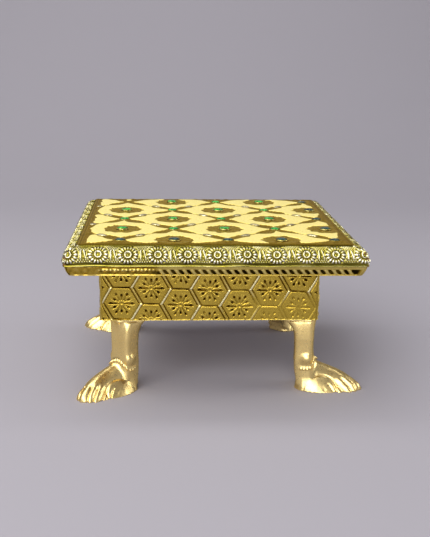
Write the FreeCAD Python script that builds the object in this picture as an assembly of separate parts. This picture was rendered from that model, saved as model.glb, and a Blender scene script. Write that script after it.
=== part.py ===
import FreeCAD, Part
import math
import os

# A small low stool: a wooden top and a wooden apron box clad in embossed foil, an enamelled top
# sheet with stones, and four cast legs shaped like feet. Millimetres, +Z up, the front towards -Y.
# The top is drawn about its own middle and the apron box with its legs about theirs. On saving they
# move so that the origin lies on the floor under the middle of the whole stool.

Vector = FreeCAD.Vector
UP = Vector(0, 0, 1)

# Main sizes
top_side = 152.4
top_thickness = 14.6
apron_setback = 19.05
apron_offset = -2.3
apron_height = 27.8
leg_height = 38.5
cut_overrun = 1.0

# Edge of the top, in from the widest line and up from the underside. A foil's thickness is the depth
# of its pressed pattern.
ridge_bottom = 5.0
ridge_height = 3.0
edge_round_width = 7.0
foil_thickness = 1.0
rope_foot_inset = 3.0
rope_thickness = 1.0
rope_crown = 0.35

# Apron box
apron_foil_thickness = 1.0
apron_board_thickness = 9.0
base_board_thickness = 4.0
corner_block_side = 15.0
corner_block_chamfer = 8.0

# Top sheet: a border with two ridge lines and a lattice of medallions and small stones, whose margins
# run from the sheet's edges to the outermost stones
sheet_thickness = 0.5
ridge_line_width = 0.7
ridge_line_rise = 0.4
first_ridge_line_inset = 0.5
second_ridge_line_inset = 2.0
lattice_left_margin = 20.95
lattice_right_margin = 8.25
lattice_end_margin = 11.8
lattice_columns = 5
lattice_rows = 5
medallion_half_width = 9.1
medallion_half_depth = 9.8
medallion_rise = 0.3
medallion_scallops = 12
medallion_scallop_depth = 0.35
medallion_points = 72
bare_small_stone_sites = [(0, 4)]

# Enamel fields between the medallions and the lattice lines
enamel_rise = 0.35
enamel_left_margin = 4.8
enamel_right_margin = 4.2
enamel_front_margin = 5.4
enamel_back_margin = 2.2
lattice_line_half_width = 0.5
leaf_half_width = 2.1
leaf_place_share = 0.26
leaf_reach_share = 0.16
small_stone_ground_radius = 3.3
side_steps = 14

# Stones and their settings
large_stone_radius = 2.3
small_stone_radius = 2.0
stone_girdle_height = 0.4
stone_crown_height = 0.8
stone_table_share = 0.55
setting_wall = 0.45
setting_height = 0.6
setting_gap = 0.05

# Nails from the top board into the apron boards
nail_radius = 0.7
nail_head_radius = 1.5
nail_head_height = 0.6
nail_length = 26.0
nail_from_middle = 34.0
nail_gap = 0.05

# Cast legs: where each one stands, how far its toes turn from the X axis, and its flange
left_leg_inset = 12.85
right_leg_inset = 6.65
leg_inset_y = 6.5
front_left_toe_angle = 225.0
front_right_toe_angle = -12.0
back_left_toe_angle = 165.0
back_right_toe_angle = 45.0
flange_turn = 18.0
flange_length = 19.5
flange_width = 18.5
flange_thickness = 1.6
flange_front_lip = 0.6
flange_outer_lip = -0.4
flange_roundness = 7.0
flare_height = 9.0
flare_bite = 0.5
flare_bite_inset = 0.2
shaft_half_depth = 5.2
shaft_half_width = 6.6
shaft_waist = 0.2
shaft_roundness = 3.3
shaft_points = 24
shaft_root_height = 9.0
shaft_foot_height = 14.0
shaft_root_share = 0.96
flare_level_shares = [0.4, 0.7, 0.88, 1.0]

# Foot of the leg. Its sections are ovals that sink below the floor and are cut off level with it.
foot_length = 31.8
foot_height = 17.0
foot_half_width = 8.2
foot_crest_lean = 3.0
sole_sink = 4.0
foot_section_roundness = 2.5
foot_section_points = 16
# For each section: its place along the foot, height, half width, shift to the little toe's side
# (a share of the half width) and lean of its crest to the big toe's side
foot_section_shares = [
    (-0.150, 0.56, 0.60, 0.04, 0.0),
    (-0.113, 0.74, 0.71, 0.04, 0.0),
    (-0.031, 0.89, 0.80, 0.05, 0.2),
    (0.094, 0.96, 0.89, 0.06, 0.5),
    (0.252, 0.80, 0.95, 0.06, 0.9),
    (0.409, 0.70, 0.98, 0.04, 1.0),
    (0.566, 0.61, 1.0, -0.02, 0.8),
    (0.723, 0.53, 0.93, -0.06, 0.4),
]
# For each toe from the big one: the reach and side of its tip, and its tip's radius
toe_tip_radius = 1.9
toe_shares = [
    (0.865, -0.76, 1.0),
    (0.947, -0.34, 0.87),
    (0.931, 0.06, 0.84),
    (0.890, 0.43, 0.82),
    (0.824, 0.74, 0.79),
]
toe_root_reach = 21.0
toe_root_radius = 2.2
toe_root_height = 6.6
toe_root_side_share = 0.95
anklet_front_height = 15.6
anklet_droop = 4.2
anklet_width = 1.4
anklet_proud = 0.5
ankle_bone_radius = 2.4
ankle_bone_rise = 0.5
ankle_bone_height = 14.5

# Screws through the flange into the base board and the corner block
screw_radius = 1.0
screw_head_radius = 2.0
screw_head_height = 1.1
screw_length = 14.0
screw_gap = 0.05
screw_edge_distance = 3.4
screw_pattern_shares = [(1, 1), (-0.7, 1), (1, 0)]

# Worked-out levels and half sizes
top_underside = leg_height + apron_height
top_plane = top_underside + top_thickness
half_top = top_side / 2
half_apron = half_top - apron_setback
half_flat = half_top - edge_round_width
lattice_step_x = (2 * half_flat - lattice_left_margin - lattice_right_margin) / (lattice_columns - 1)
lattice_step_y = (2 * half_flat - 2 * lattice_end_margin) / (lattice_rows - 1)
lattice_shift_x = (lattice_left_margin - lattice_right_margin) / 2
half_box = half_apron - apron_foil_thickness
ridge_top = ridge_bottom + ridge_height
edge_round_height = top_thickness - ridge_top
edge_round_radius = (edge_round_width**2 + edge_round_height**2) / (2 * edge_round_height)
board_top = top_plane - sheet_thickness
sheet_bottom = board_top
base_top = leg_height + base_board_thickness
right_toes_reach = (
    half_apron + apron_offset - right_leg_inset
    + foot_length * math.cos(math.radians(front_right_toe_angle)))
left_toes_reach = (
    half_apron - apron_offset - left_leg_inset
    - foot_length * math.cos(math.radians(back_left_toe_angle)))
middle_shift = (right_toes_reach - max(left_toes_reach, half_top)) / 2
sides = {"front": 0.0, "right": 90.0, "back": 180.0, "left": 270.0}

os.makedirs("parts", exist_ok=True)


def save(shape, node):
    shape.translated(Vector(-middle_shift, 0, 0)).exportStep("parts/" + node + ".step")


def below_top(shape):
    """A shape drawn about the apron box's middle, moved to its place under the top."""
    return shape.translated(Vector(apron_offset, 0, 0))


def block(low, high):
    """A box between two corners."""
    size = high - low
    return Part.makeBox(size.x, size.y, size.z, low)


def turned(shape, degrees):
    """A copy turned about the stool's middle axis."""
    return shape.rotated(Vector(0, 0, 0), UP, degrees)


def fused(shapes):
    """One shape from several that overlap."""
    return shapes[0].multiFuse(shapes[1:]).removeSplitter() if len(shapes) > 1 else shapes[0]


def group(shapes):
    """Separate solids kept in one node."""
    return Part.makeCompound([solid for shape in shapes for solid in shape.Solids])


def prism(points, height):
    """A straight-sided solid over a closed polygon."""
    return Part.Face(Part.makePolygon(points + points[:1])).extrude(Vector(0, 0, height))


# Section of the top's edge, drawn in the YZ plane at the front. Insets count in from the widest line.


def edge_point(inset, height):
    return Vector(0, inset - half_top, top_underside + height)


def edge_curve(depth):
    """The rounded shoulder, pushed in by depth, from the ridge up to the flat."""
    radius = edge_round_radius - depth
    middle_height = top_thickness - edge_round_radius
    foot_inset = edge_round_width - math.sqrt(radius**2 - (ridge_top - middle_height) ** 2)
    half_angle = math.asin((ridge_top - middle_height) / radius) / 2 + math.pi / 4
    foot = edge_point(foot_inset, ridge_top)
    crown = edge_point(edge_round_width, middle_height + radius)
    between = edge_point(
        edge_round_width - radius * math.cos(half_angle),
        middle_height + radius * math.sin(half_angle),
    )
    return Part.Arc(foot, between, crown).toShape(), foot, crown


def edge_run(section_edges):
    """A mitred run of an edge section along the front side."""
    wire = Part.Wire(section_edges)
    run = Part.Face(wire).extrude(Vector(top_side, 0, 0))
    run.translate(Vector(-half_top, 0, 0))
    reach = half_top + cut_overrun
    wedge = prism(
        [Vector(0, 0, top_underside - cut_overrun), Vector(reach, -reach, top_underside - cut_overrun),
         Vector(-reach, -reach, top_underside - cut_overrun)],
        top_thickness + 2 * cut_overrun,
    )
    return run.common(wedge)


def foil_section():
    outer_arc, outer_foot, outer_crown = edge_curve(0)
    inner_arc, inner_foot, inner_crown = edge_curve(foil_thickness)
    low_outer = edge_point(0, ridge_bottom)
    low_inner = edge_point(foil_thickness, ridge_bottom)
    return [
        Part.LineSegment(low_outer, outer_foot).toShape(),
        outer_arc,
        Part.LineSegment(outer_crown, inner_crown).toShape(),
        inner_arc,
        Part.LineSegment(inner_foot, low_inner).toShape(),
        Part.LineSegment(low_inner, low_outer).toShape(),
    ]


def rope_section():
    head = edge_point(foil_thickness, ridge_bottom)
    foot = edge_point(rope_foot_inset, 0)
    head_back = edge_point(foil_thickness + rope_thickness, ridge_bottom)
    foot_back = edge_point(rope_foot_inset + rope_thickness, 0)
    outward = Vector(0, -ridge_bottom, foil_thickness - rope_foot_inset).normalize()
    belly = (head + foot) * 0.5 + outward * rope_crown
    return [
        Part.Arc(head, belly, foot).toShape(),
        Part.LineSegment(foot, foot_back).toShape(),
        Part.LineSegment(foot_back, head_back).toShape(),
        Part.LineSegment(head_back, head).toShape(),
    ]


def board_section():
    """Half section of the wooden core's edge, closed back to the flat's border."""
    arc, foot, crown = edge_curve(foil_thickness)
    corners = [
        crown,
        edge_point(edge_round_width, 0),
        edge_point(rope_foot_inset + rope_thickness, 0),
        edge_point(foil_thickness + rope_thickness, ridge_bottom),
        edge_point(foil_thickness, ridge_bottom),
        foot,
    ]
    lines = [Part.LineSegment(a, b).toShape() for a, b in zip(corners, corners[1:])]
    return lines + [arc]


def nail_places():
    """Nails sit over the middle of each apron board."""
    from_middle = half_box - apron_board_thickness / 2
    front = [Vector(-nail_from_middle, -from_middle, 0), Vector(nail_from_middle, -from_middle, 0)]
    return [turned(Part.Vertex(spot), angle).Point for angle in sides.values() for spot in front]


def nail(gap):
    shank = Part.makeCylinder(nail_radius + gap, nail_length + gap, Vector(0, 0, -nail_length - gap))
    head = Part.makeCylinder(nail_head_radius + gap, nail_head_height + gap, Vector(0, 0, -nail_head_height - gap))
    return shank.fuse(head).removeSplitter()


def nails(gap):
    """All nails, their heads flush with the board's top under the sheet."""
    return [nail(gap).translated(spot + Vector(0, 0, board_top)) for spot in nail_places()]


# Legs. In a leg's own frame the toes point along +X, the little toe is on +Y, the floor is Z = 0
# and the shaft's middle is the Z axis.


def superellipse(half_x, half_y, roundness, turn, middle, count):
    """Points of a rounded rectangle; a higher roundness is squarer."""
    points = []
    for step in range(count):
        angle = 2 * math.pi * step / count
        local = angle - math.radians(turn)
        across = (abs(math.cos(local)) / half_x) ** roundness
        along = (abs(math.sin(local)) / half_y) ** roundness
        radius = (across + along) ** (-1 / roundness)
        points.append(middle + Vector(radius * math.cos(angle), radius * math.sin(angle), 0))
    return points


def closed_curve(points):
    curve = Part.BSplineCurve()
    curve.interpolate(Points=points, PeriodicFlag=True)
    return Part.Wire(curve.toShape())


def foot_section(reach, height, half_width, side_shift, lean):
    """A cross-section of the foot, standing on the floor at one distance from the shaft."""
    rise = (height + sole_sink) / 2
    points = superellipse(
        half_width, rise, foot_section_roundness, 0, Vector(0, 0, 0), foot_section_points)
    return closed_curve([
        Vector(reach, side_shift + p.x - lean * (p.y + rise) / (2 * rise), rise - sole_sink + p.y) for p in points])


def foot_body():
    wires = [
        foot_section(
            place * foot_length, height * foot_height, width * foot_half_width,
            shift * foot_half_width, lean * foot_crest_lean)
        for place, height, width, shift, lean in foot_section_shares
    ]
    return Part.makeLoft(wires, True, False)


def toe(reach, side, radius):
    """A tapered toe with round ends, sloping down from the ball of the foot."""
    root = Vector(toe_root_reach, side * toe_root_side_share, toe_root_height)
    tip = Vector(reach, side, radius)
    run = tip - root
    cone = Part.makeCone(toe_root_radius, radius, run.Length, root, run)
    return fused([cone, Part.makeSphere(radius, tip)])


def shaft_outline(narrowing, scale_share, level):
    return superellipse(
        (shaft_half_depth - narrowing) * scale_share, (shaft_half_width - narrowing) * scale_share,
        shaft_roundness, 0, Vector(0, 0, level), shaft_points)


def shaft_and_flare(flange_angle, flange_middle):
    """The shaft, rising from the foot and flaring inwards to the flange's underside."""
    flare_foot = leg_height - flange_thickness - flare_height
    outlines = [
        shaft_outline(0, shaft_root_share, shaft_root_height),
        shaft_outline(0, 1, shaft_foot_height),
        shaft_outline(shaft_waist, 1, (shaft_foot_height + flare_foot) / 2),
        shaft_outline(shaft_waist, 1, flare_foot),
    ]
    for share in flare_level_shares:
        spread = 1 - math.sqrt(1 - share**2)
        level = Vector(0, 0, flare_foot + (flare_height + flare_bite) * share)
        flange_points = superellipse(
            flange_length / 2 - flare_bite_inset, flange_width / 2 - flare_bite_inset,
            flange_roundness, flange_angle, flange_middle, shaft_points)
        outlines.append([
            a * (1 - spread) + b * spread + level
            for a, b in zip(shaft_outline(shaft_waist, 1, 0), flange_points)])
    return Part.makeLoft([closed_curve(points) for points in outlines], True, False)


def flange_plate(flange_angle, flange_middle):
    outline = closed_curve(superellipse(
        flange_length / 2, flange_width / 2, flange_roundness, flange_angle,
        flange_middle + Vector(0, 0, leg_height - flange_thickness), shaft_points))
    return Part.Face(outline).extrude(Vector(0, 0, flange_thickness))


def anklet():
    """Two halves of a band round the ankle, which droops on both sides."""
    droop_turn = math.atan2(anklet_droop, shaft_half_width)
    outline = closed_curve(superellipse(
        shaft_half_depth + anklet_proud, (shaft_half_width + anklet_proud) / math.cos(droop_turn),
        shaft_roundness, 0, Vector(0, 0, -anklet_width / 2), shaft_points))
    band = Part.Face(outline).extrude(Vector(0, 0, anklet_width))
    band = band.rotated(Vector(0, 0, 0), Vector(1, 0, 0), -math.degrees(droop_turn))
    reach = leg_height
    half = band.common(block(Vector(-reach, 0, -reach), Vector(reach, reach, reach)))
    halves = [half, half.mirror(Vector(0, 0, 0), Vector(0, 1, 0))]
    return [piece.translated(Vector(0, 0, anklet_front_height)) for piece in halves]


def leg_casting(toe_angle, toes_side, place, flange_world_turn, flange_world_middle):
    """One leg, placed. toes_side is 1 for a left foot and -1 for a right foot."""
    back = -toe_angle
    local_middle = (flange_world_middle - place)
    local_middle.z = 0
    local_middle = Part.Vertex(local_middle).rotated(Vector(0, 0, 0), UP, back).Point
    flange_angle = flange_world_turn + back
    upper = [shaft_and_flare(flange_angle, local_middle), flange_plate(flange_angle, local_middle)]
    lower = [foot_body()] + anklet()
    for reach, side, size in toe_shares:
        lower.append(toe(reach * foot_length, side * foot_half_width, size * toe_tip_radius))
    for side in (-1, 1):
        bone_side = side * (shaft_half_width + ankle_bone_rise - ankle_bone_radius)
        lower.append(Part.makeSphere(ankle_bone_radius, Vector(0, bone_side, ankle_bone_height)))
    if toes_side < 0:
        lower = [shape.mirror(Vector(0, 0, 0), Vector(0, 1, 0)) for shape in lower]
    casting = fused(upper + lower)
    below = block(Vector(-top_side, -top_side, -leg_height), Vector(top_side, top_side, 0))
    return turned(casting.cut(below), toe_angle).translated(place)


def screw(gap):
    """A countersunk wood screw pointing up, its head's face at Z = 0."""
    head = Part.makeCone(screw_head_radius + gap, screw_radius + gap, screw_head_height + gap)
    shank = Part.makeCylinder(screw_radius + gap, screw_length + gap)
    return head.fuse(shank).removeSplitter()


def screw_hole():
    """The hole for a screw, with the driver's way in through the flare below it."""
    way_in = Part.makeCylinder(screw_head_radius + screw_gap, flare_height, Vector(0, 0, -flare_height))
    return screw(screw_gap).fuse(way_in).removeSplitter()


def leg_layout():
    """Name, toe angle, handedness, shaft place, flange turn and flange middle of each leg."""
    layout = []
    corners = {
        "front_left": (-1, -1, front_left_toe_angle),
        "front_right": (1, -1, front_right_toe_angle),
        "back_left": (-1, 1, back_left_toe_angle),
        "back_right": (1, 1, back_right_toe_angle),
    }
    for name, (side_x, side_y, toe_angle) in corners.items():
        leg_inset_x = left_leg_inset if side_x < 0 else right_leg_inset
        place = Vector(side_x * (half_apron - leg_inset_x), side_y * (half_apron - leg_inset_y), 0)
        turn = math.radians(side_x * side_y * flange_turn)
        inward_x = Vector(-side_x * math.cos(turn), -side_x * math.sin(turn), 0)
        inward_y = Vector(side_y * math.sin(turn), -side_y * math.cos(turn), 0)
        middle = (
            place
            + inward_x * (flange_length / 2 - shaft_half_width - flange_outer_lip)
            + inward_y * (flange_width / 2 - shaft_half_depth - flange_front_lip)
        )
        spots = []
        for along, across in screw_pattern_shares:
            spots.append(
                middle
                + inward_x * along * (flange_length / 2 - screw_edge_distance)
                + inward_y * across * (flange_width / 2 - screw_edge_distance)
            )
        layout.append((name, toe_angle, side_x * -1, place, math.degrees(turn), middle, spots))
    return layout


# Top sheet and its lattice


def lattice_place(column, row):
    return Vector(
        lattice_shift_x + (column - (lattice_columns - 1) / 2) * lattice_step_x,
        (row - (lattice_rows - 1) / 2) * lattice_step_y,
        0,
    )


def medallion_outline(middle, level):
    """A scalloped oval."""
    points = []
    for step in range(medallion_points):
        angle = 2 * math.pi * step / medallion_points
        scallop = medallion_scallop_depth * abs(math.cos(medallion_scallops * angle / 2))
        points.append(middle + Vector(
            (medallion_half_width + scallop) * math.cos(angle),
            (medallion_half_depth + scallop) * math.sin(angle),
            level,
        ))
    return points


def ridge_frame(inset):
    """A thin raised line round the border."""
    outer = half_flat - inset
    inner = outer - ridge_line_width
    rise = top_plane + ridge_line_rise
    frame = block(Vector(-outer, -outer, top_plane), Vector(outer, outer, rise))
    return frame.cut(block(Vector(-inner, -inner, top_plane - cut_overrun), Vector(inner, inner, rise + cut_overrun)))


def panel_window(level, height):
    """The part of the panel inside its ridge lines, as a block."""
    reach = half_flat - second_ridge_line_inset - ridge_line_width
    return block(Vector(-reach, -reach, level), Vector(reach, reach, level + height))


def lattice_sites(wanted_parity, margin):
    """Columns and rows whose sum has the wanted parity, with a margin beyond the stones."""
    return [
        (column, row)
        for column in range(-margin, lattice_columns + margin)
        for row in range(-margin, lattice_rows + margin)
        if (column + row) % 2 == wanted_parity
    ]


def top_sheet():
    plate = block(Vector(-half_flat, -half_flat, sheet_bottom), Vector(half_flat, half_flat, top_plane))
    window = panel_window(top_plane, medallion_rise)
    bosses = [
        prism(medallion_outline(lattice_place(*site), top_plane), medallion_rise).common(window)
        for site in lattice_sites(1, 0)
    ]
    frames = [ridge_frame(first_ridge_line_inset), ridge_frame(second_ridge_line_inset)]
    return fused([plate] + frames + bosses)


def lattice_side(start, end, inward):
    """One side of a field: a lattice line from stone to stone, widened by two leaves."""
    run = end - start
    clear_share = small_stone_ground_radius / run.Length
    points = []
    for step in range(side_steps + 1):
        share = clear_share + (1 - 2 * clear_share) * step / side_steps
        half_width = lattice_line_half_width
        for place in (leaf_place_share, 1 - leaf_place_share):
            nearness = 1 - ((share - place) / leaf_reach_share) ** 2
            if nearness > 0:
                half_width += leaf_half_width * nearness
        points.append(start + run * share + inward * half_width)
    return points


def enamel_field(column, row):
    """The cream ring round one medallion, within its four small stones."""
    middle = lattice_place(column, row)
    corners = [
        middle + Vector(lattice_step_x, 0, 0),
        middle + Vector(0, lattice_step_y, 0),
        middle - Vector(lattice_step_x, 0, 0),
        middle - Vector(0, lattice_step_y, 0),
    ]
    points = []
    for start, end in zip(corners, corners[1:] + corners[:1]):
        inward = Vector(start.y - end.y, end.x - start.x, 0).normalize()
        points += lattice_side(start, end, inward)
    level = Vector(0, 0, top_plane)
    ring = prism([p + level for p in points], enamel_rise)
    hole = prism(medallion_outline(middle, top_plane - cut_overrun), enamel_rise + 2 * cut_overrun)
    return ring.cut(hole)


def enamel_fields():
    window = block(
        Vector(enamel_left_margin - half_flat, enamel_front_margin - half_flat, top_plane),
        Vector(half_flat - enamel_right_margin, half_flat - enamel_back_margin, top_plane + enamel_rise),
    )
    window = window.common(panel_window(top_plane, enamel_rise))
    fields = [enamel_field(*site).common(window) for site in lattice_sites(1, 1)]
    clear = [
        Part.makeCylinder(small_stone_ground_radius, enamel_rise + 2 * cut_overrun,
                          lattice_place(*site) + Vector(0, 0, top_plane - cut_overrun))
        for site in lattice_sites(0, 1)
    ]
    kept = []
    for field in fields:
        for solid in field.cut(Part.makeCompound(clear)).Solids:
            if solid.Volume > enamel_rise * small_stone_ground_radius**2:
                kept.append(solid)
    return group(kept)


def stone(radius, foot):
    """A round cut stone: a short girdle, a sloping crown and a flat table."""
    girdle = Part.makeCylinder(radius, stone_girdle_height, foot)
    crown = Part.makeCone(
        radius, radius * stone_table_share, stone_crown_height, foot + Vector(0, 0, stone_girdle_height))
    return girdle.fuse(crown)


def setting(radius, foot):
    """The metal collet round a stone."""
    outer = Part.makeCylinder(radius + setting_gap + setting_wall, setting_height, foot)
    inner = Part.makeCylinder(radius + setting_gap, setting_height + cut_overrun, foot)
    return outer.cut(inner)


# Top
board_centre = block(
    Vector(-half_flat, -half_flat, top_underside),
    Vector(half_flat, half_flat, board_top),
)
board_edges = [turned(edge_run(board_section()), angle) for angle in sides.values()]
top_board = fused([board_centre] + board_edges)
top_board = top_board.cut(below_top(Part.makeCompound(nails(nail_gap))))
save(top_board, "top_board")

for side, angle in sides.items():
    save(turned(edge_run(foil_section()), angle), "edge_foil_" + side)
    save(turned(edge_run(rope_section()), angle), "rope_trim_" + side)

save(top_sheet(), "top_sheet")
save(enamel_fields(), "enamel_fields")

boss_level = Vector(0, 0, top_plane + medallion_rise)
ground_level = Vector(0, 0, top_plane)
large_places = [lattice_place(*site) + boss_level for site in lattice_sites(1, 0)]
small_places = [
    lattice_place(*site) + ground_level
    for site in lattice_sites(0, 0)
    if site not in bare_small_stone_sites
]
save(group([stone(large_stone_radius, place) for place in large_places]), "large_stones")
save(group([stone(small_stone_radius, place) for place in small_places]), "small_stones")
settings = [setting(large_stone_radius, place) for place in large_places]
settings += [setting(small_stone_radius, place) for place in small_places]
save(group(settings), "stone_settings")
save(below_top(group(nails(0))), "top_nails")

# Screws and the pieces that they hold
layout = leg_layout()
screw_foot = Vector(0, 0, leg_height - flange_thickness)
screw_spots = [spot + screw_foot for row in layout for spot in row[6]]
screw_holes = Part.makeCompound([screw_hole().translated(spot) for spot in screw_spots])
save(below_top(group([screw(0).translated(spot) for spot in screw_spots])), "leg_screws")

# Apron box
base_board = block(Vector(-half_box, -half_box, leg_height), Vector(half_box, half_box, base_top))
save(below_top(base_board.cut(screw_holes)), "base_board")

inner_half = half_box - apron_board_thickness
nail_holes = Part.makeCompound(nails(nail_gap))
for side, angle in sides.items():
    long_board = side in ("front", "back")
    board_reach = half_box if long_board else inner_half
    board = block(Vector(-board_reach, -half_box, base_top), Vector(board_reach, -inner_half, top_underside))
    save(below_top(turned(board, angle).cut(screw_holes).cut(nail_holes)), "apron_board_" + side)
    foil_reach = half_apron if long_board else half_box
    foil = block(Vector(-foil_reach, -half_apron, leg_height), Vector(foil_reach, -half_box, top_underside))
    save(below_top(turned(foil, angle)), "apron_foil_" + side)

for name, toe_angle, toes_side, place, flange_world_turn, middle, spots in layout:
    side_x = math.copysign(1, place.x)
    side_y = math.copysign(1, place.y)
    outline = [(0, 0), (corner_block_side, 0), (corner_block_side, corner_block_side - corner_block_chamfer),
               (corner_block_side - corner_block_chamfer, corner_block_side), (0, corner_block_side)]
    points = [Vector(side_x * (inner_half - x), side_y * (inner_half - y), base_top) for x, y in outline]
    corner = prism(points, top_underside - base_top)
    save(below_top(corner.cut(screw_holes)), "corner_block_" + name)
    casting = leg_casting(toe_angle, toes_side, place, flange_world_turn, middle)
    save(below_top(casting.cut(screw_holes)), "leg_" + name)
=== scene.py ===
import math

import bmesh
import bpy
import numpy as np
from mathutils import Matrix, Vector


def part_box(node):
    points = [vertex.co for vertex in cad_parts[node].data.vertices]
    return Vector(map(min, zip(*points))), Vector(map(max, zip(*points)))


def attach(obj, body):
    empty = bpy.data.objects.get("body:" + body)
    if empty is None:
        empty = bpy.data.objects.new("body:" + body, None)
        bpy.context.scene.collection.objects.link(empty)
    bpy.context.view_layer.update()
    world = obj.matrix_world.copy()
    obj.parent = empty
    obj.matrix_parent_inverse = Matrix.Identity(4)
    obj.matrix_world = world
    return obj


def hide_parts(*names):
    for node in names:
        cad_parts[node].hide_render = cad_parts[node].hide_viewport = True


# The look of a small low stool: embossed golden foil over wood, an enamelled top set with green
# stones, and four cast legs shaped like feet. Sizes are in millimetres and MM turns them to metres.
# A fade is a pair: where a form starts to show and where it is whole. A ridge is its place, its half
# width and its height. Waves are their length, the seed of their draw and their height. Pressed
# heights run from 0 in the hollows to 1 on the tips.

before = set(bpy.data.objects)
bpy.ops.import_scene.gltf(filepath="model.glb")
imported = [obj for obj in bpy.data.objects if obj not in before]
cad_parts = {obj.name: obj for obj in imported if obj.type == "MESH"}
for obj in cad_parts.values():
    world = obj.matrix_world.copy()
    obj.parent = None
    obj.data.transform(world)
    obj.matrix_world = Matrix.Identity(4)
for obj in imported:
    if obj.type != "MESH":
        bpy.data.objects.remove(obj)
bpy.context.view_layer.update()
MM = 0.001

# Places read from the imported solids
sheet_low, sheet_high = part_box("top_sheet")
board_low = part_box("top_board")[0]
foil_low, foil_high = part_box("edge_foil_front")
apron_low, apron_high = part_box("apron_foil_front")
core_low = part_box("apron_board_front")[0]
top_middle_x = (sheet_low.x + sheet_high.x) / 2 / MM
apron_middle_x = (apron_low.x + apron_high.x) / 2 / MM
top_underside = board_low.z / MM
top_plane = foil_high.z / MM
leg_height = apron_low.z / MM
half_flat = (sheet_high.x - sheet_low.x) / 2 / MM
half_top = (foil_high.x - foil_low.x) / 2 / MM
half_apron = (apron_high.x - apron_low.x) / 2 / MM
apron_height = top_underside - leg_height
edge_relief = (board_low.y - foil_low.y) / MM
apron_relief = (core_low.y - apron_low.y) / MM
sides = ["front", "right", "back", "left"]

# Mesh spacing
relief_step = 0.22
top_step = 0.44
enamel_step = 0.36
leg_step = 0.36


# Materials


def linear(code):
    """A colour written as sRGB hex, in the linear values that shaders take."""
    values = [int(code[i:i + 2], 16) / 255 for i in (1, 3, 5)]
    return [v / 12.92 if v <= 0.04045 else ((v + 0.055) / 1.055) ** 2.4 for v in values] + [1.0]


def add_node(tree, kind, inputs=None, **settings):
    """A node with its settings, its input values and its incoming links."""
    made = tree.nodes.new(kind)
    for name, value in settings.items():
        setattr(made, name, value)
    for key, value in (inputs or {}).items():
        if isinstance(value, bpy.types.NodeSocket):
            tree.links.new(value, made.inputs[key])
        else:
            made.inputs[key].default_value = value
    return made


def add_ramp(tree, level, stops):
    """A colour ramp over a level, with stops from (place, hex colour) pairs."""
    made = add_node(tree, "ShaderNodeValToRGB", {"Fac": level})
    while len(made.color_ramp.elements) < len(stops):
        made.color_ramp.elements.new(0.5)
    for element, (place, code) in zip(made.color_ramp.elements, stops):
        element.position = place
        element.color = linear(code)
    return made.outputs["Color"]


def new_material(name, **values):
    """A material, its node tree and its shader, with the values that are the same all over it."""
    made = bpy.data.materials.new(name)
    made.use_nodes = True
    shader = made.node_tree.nodes["Principled BSDF"]
    for key, value in values.items():
        shader.inputs[key.replace("_", " ")].default_value = value
    return made, made.node_tree, shader


# A finish is darker or lighter in slow patches, and its roughness varies with its grain
patch_size = 9.0
patch_share = 0.25
patch_detail = 2.0
grain_depth = 0.1
grain_detail = 4.0
grain_roughness = 0.6
grain_shares = (0.3, 0.7)
sheen_shares = (0.8, 1.25)


def surface(name, stops, roughness, grain_size, grain_strength, relief_share=0.85, **values):
    """A finish whose colour follows the relief attribute through its stops, which on the foils and the
    stamped sheet paints shade into the hollows and highlights onto the tips, and whose sheen varies with a
    fine grain.
    """
    made, tree, shader = new_material(name, **values)
    place = add_node(tree, "ShaderNodeTexCoord").outputs["Object"]
    grain = add_node(tree, "ShaderNodeTexNoise", {
        "Vector": place, "Scale": 1 / (grain_size * MM), "Detail": grain_detail,
        "Roughness": grain_roughness}).outputs["Fac"]
    patch = add_node(tree, "ShaderNodeTexNoise", {
        "Vector": place, "Scale": 1 / (patch_size * MM), "Detail": patch_detail}).outputs["Fac"]
    relief = add_node(tree, "ShaderNodeAttribute", attribute_name="relief").outputs["Fac"]
    depth = add_node(tree, "ShaderNodeMath", {0: relief, 1: relief_share}, operation="MULTIPLY")
    uneven = add_node(tree, "ShaderNodeMath", {0: patch, 1: patch_share}, operation="MULTIPLY")
    level = add_node(tree, "ShaderNodeMath", {0: depth.outputs[0], 1: uneven.outputs[0]}, operation="ADD")
    tree.links.new(add_ramp(tree, level.outputs[0], stops), shader.inputs["Base Color"])
    sheen = add_node(tree, "ShaderNodeMapRange", {
        "Value": grain, "From Min": grain_shares[0], "From Max": grain_shares[1],
        "To Min": roughness * sheen_shares[0], "To Max": roughness * sheen_shares[1]})
    tree.links.new(sheen.outputs["Result"], shader.inputs["Roughness"])
    bump = add_node(tree, "ShaderNodeBump", {
        "Height": grain, "Strength": grain_strength, "Distance": grain_depth * MM})
    tree.links.new(bump.outputs["Normal"], shader.inputs["Normal"])
    return made


# Golden metals keep a warm tint where they are seen at a flat angle.
gold_metal = {"Metallic": 1.0, "Specular_Tint": linear("#f1e4ae")}
grey_metal = {"Metallic": 1.0, "Specular_Tint": linear("#ffffff")}
# Thin brass-toned aluminium foil, embossed in a press, with painted shade in its hollows and painted
# highlights on its tips.
edge_foil_finish = surface(
    "embossed_edge_foil", [(0.1, "#453e10"), (0.4, "#b3a63e"), (0.95, "#fbf9e2")],
    roughness=0.2, grain_size=0.5, grain_strength=0.2, **gold_metal)
# The same foil on the apron, a deeper gold with flatter relief, with painted shade near black in its creases
# and cuts and painted highlights on its ribs.
apron_foil_finish = surface(
    "embossed_apron_foil", [(0.15, "#171103"), (0.45, "#b29332"), (0.75, "#c9ad49"), (1.0, "#f8edb4")],
    roughness=0.27, grain_size=0.6, grain_strength=0.4, **gold_metal)
# Stamped rope edging, with painted shade in its slots.
rope_finish = surface(
    "stamped_rope_edging", [(0.12, "#1f1704"), (0.5, "#bd9e3a"), (0.98, "#ecd983")],
    roughness=0.28, grain_size=0.6, grain_strength=0.3, **gold_metal)
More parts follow.
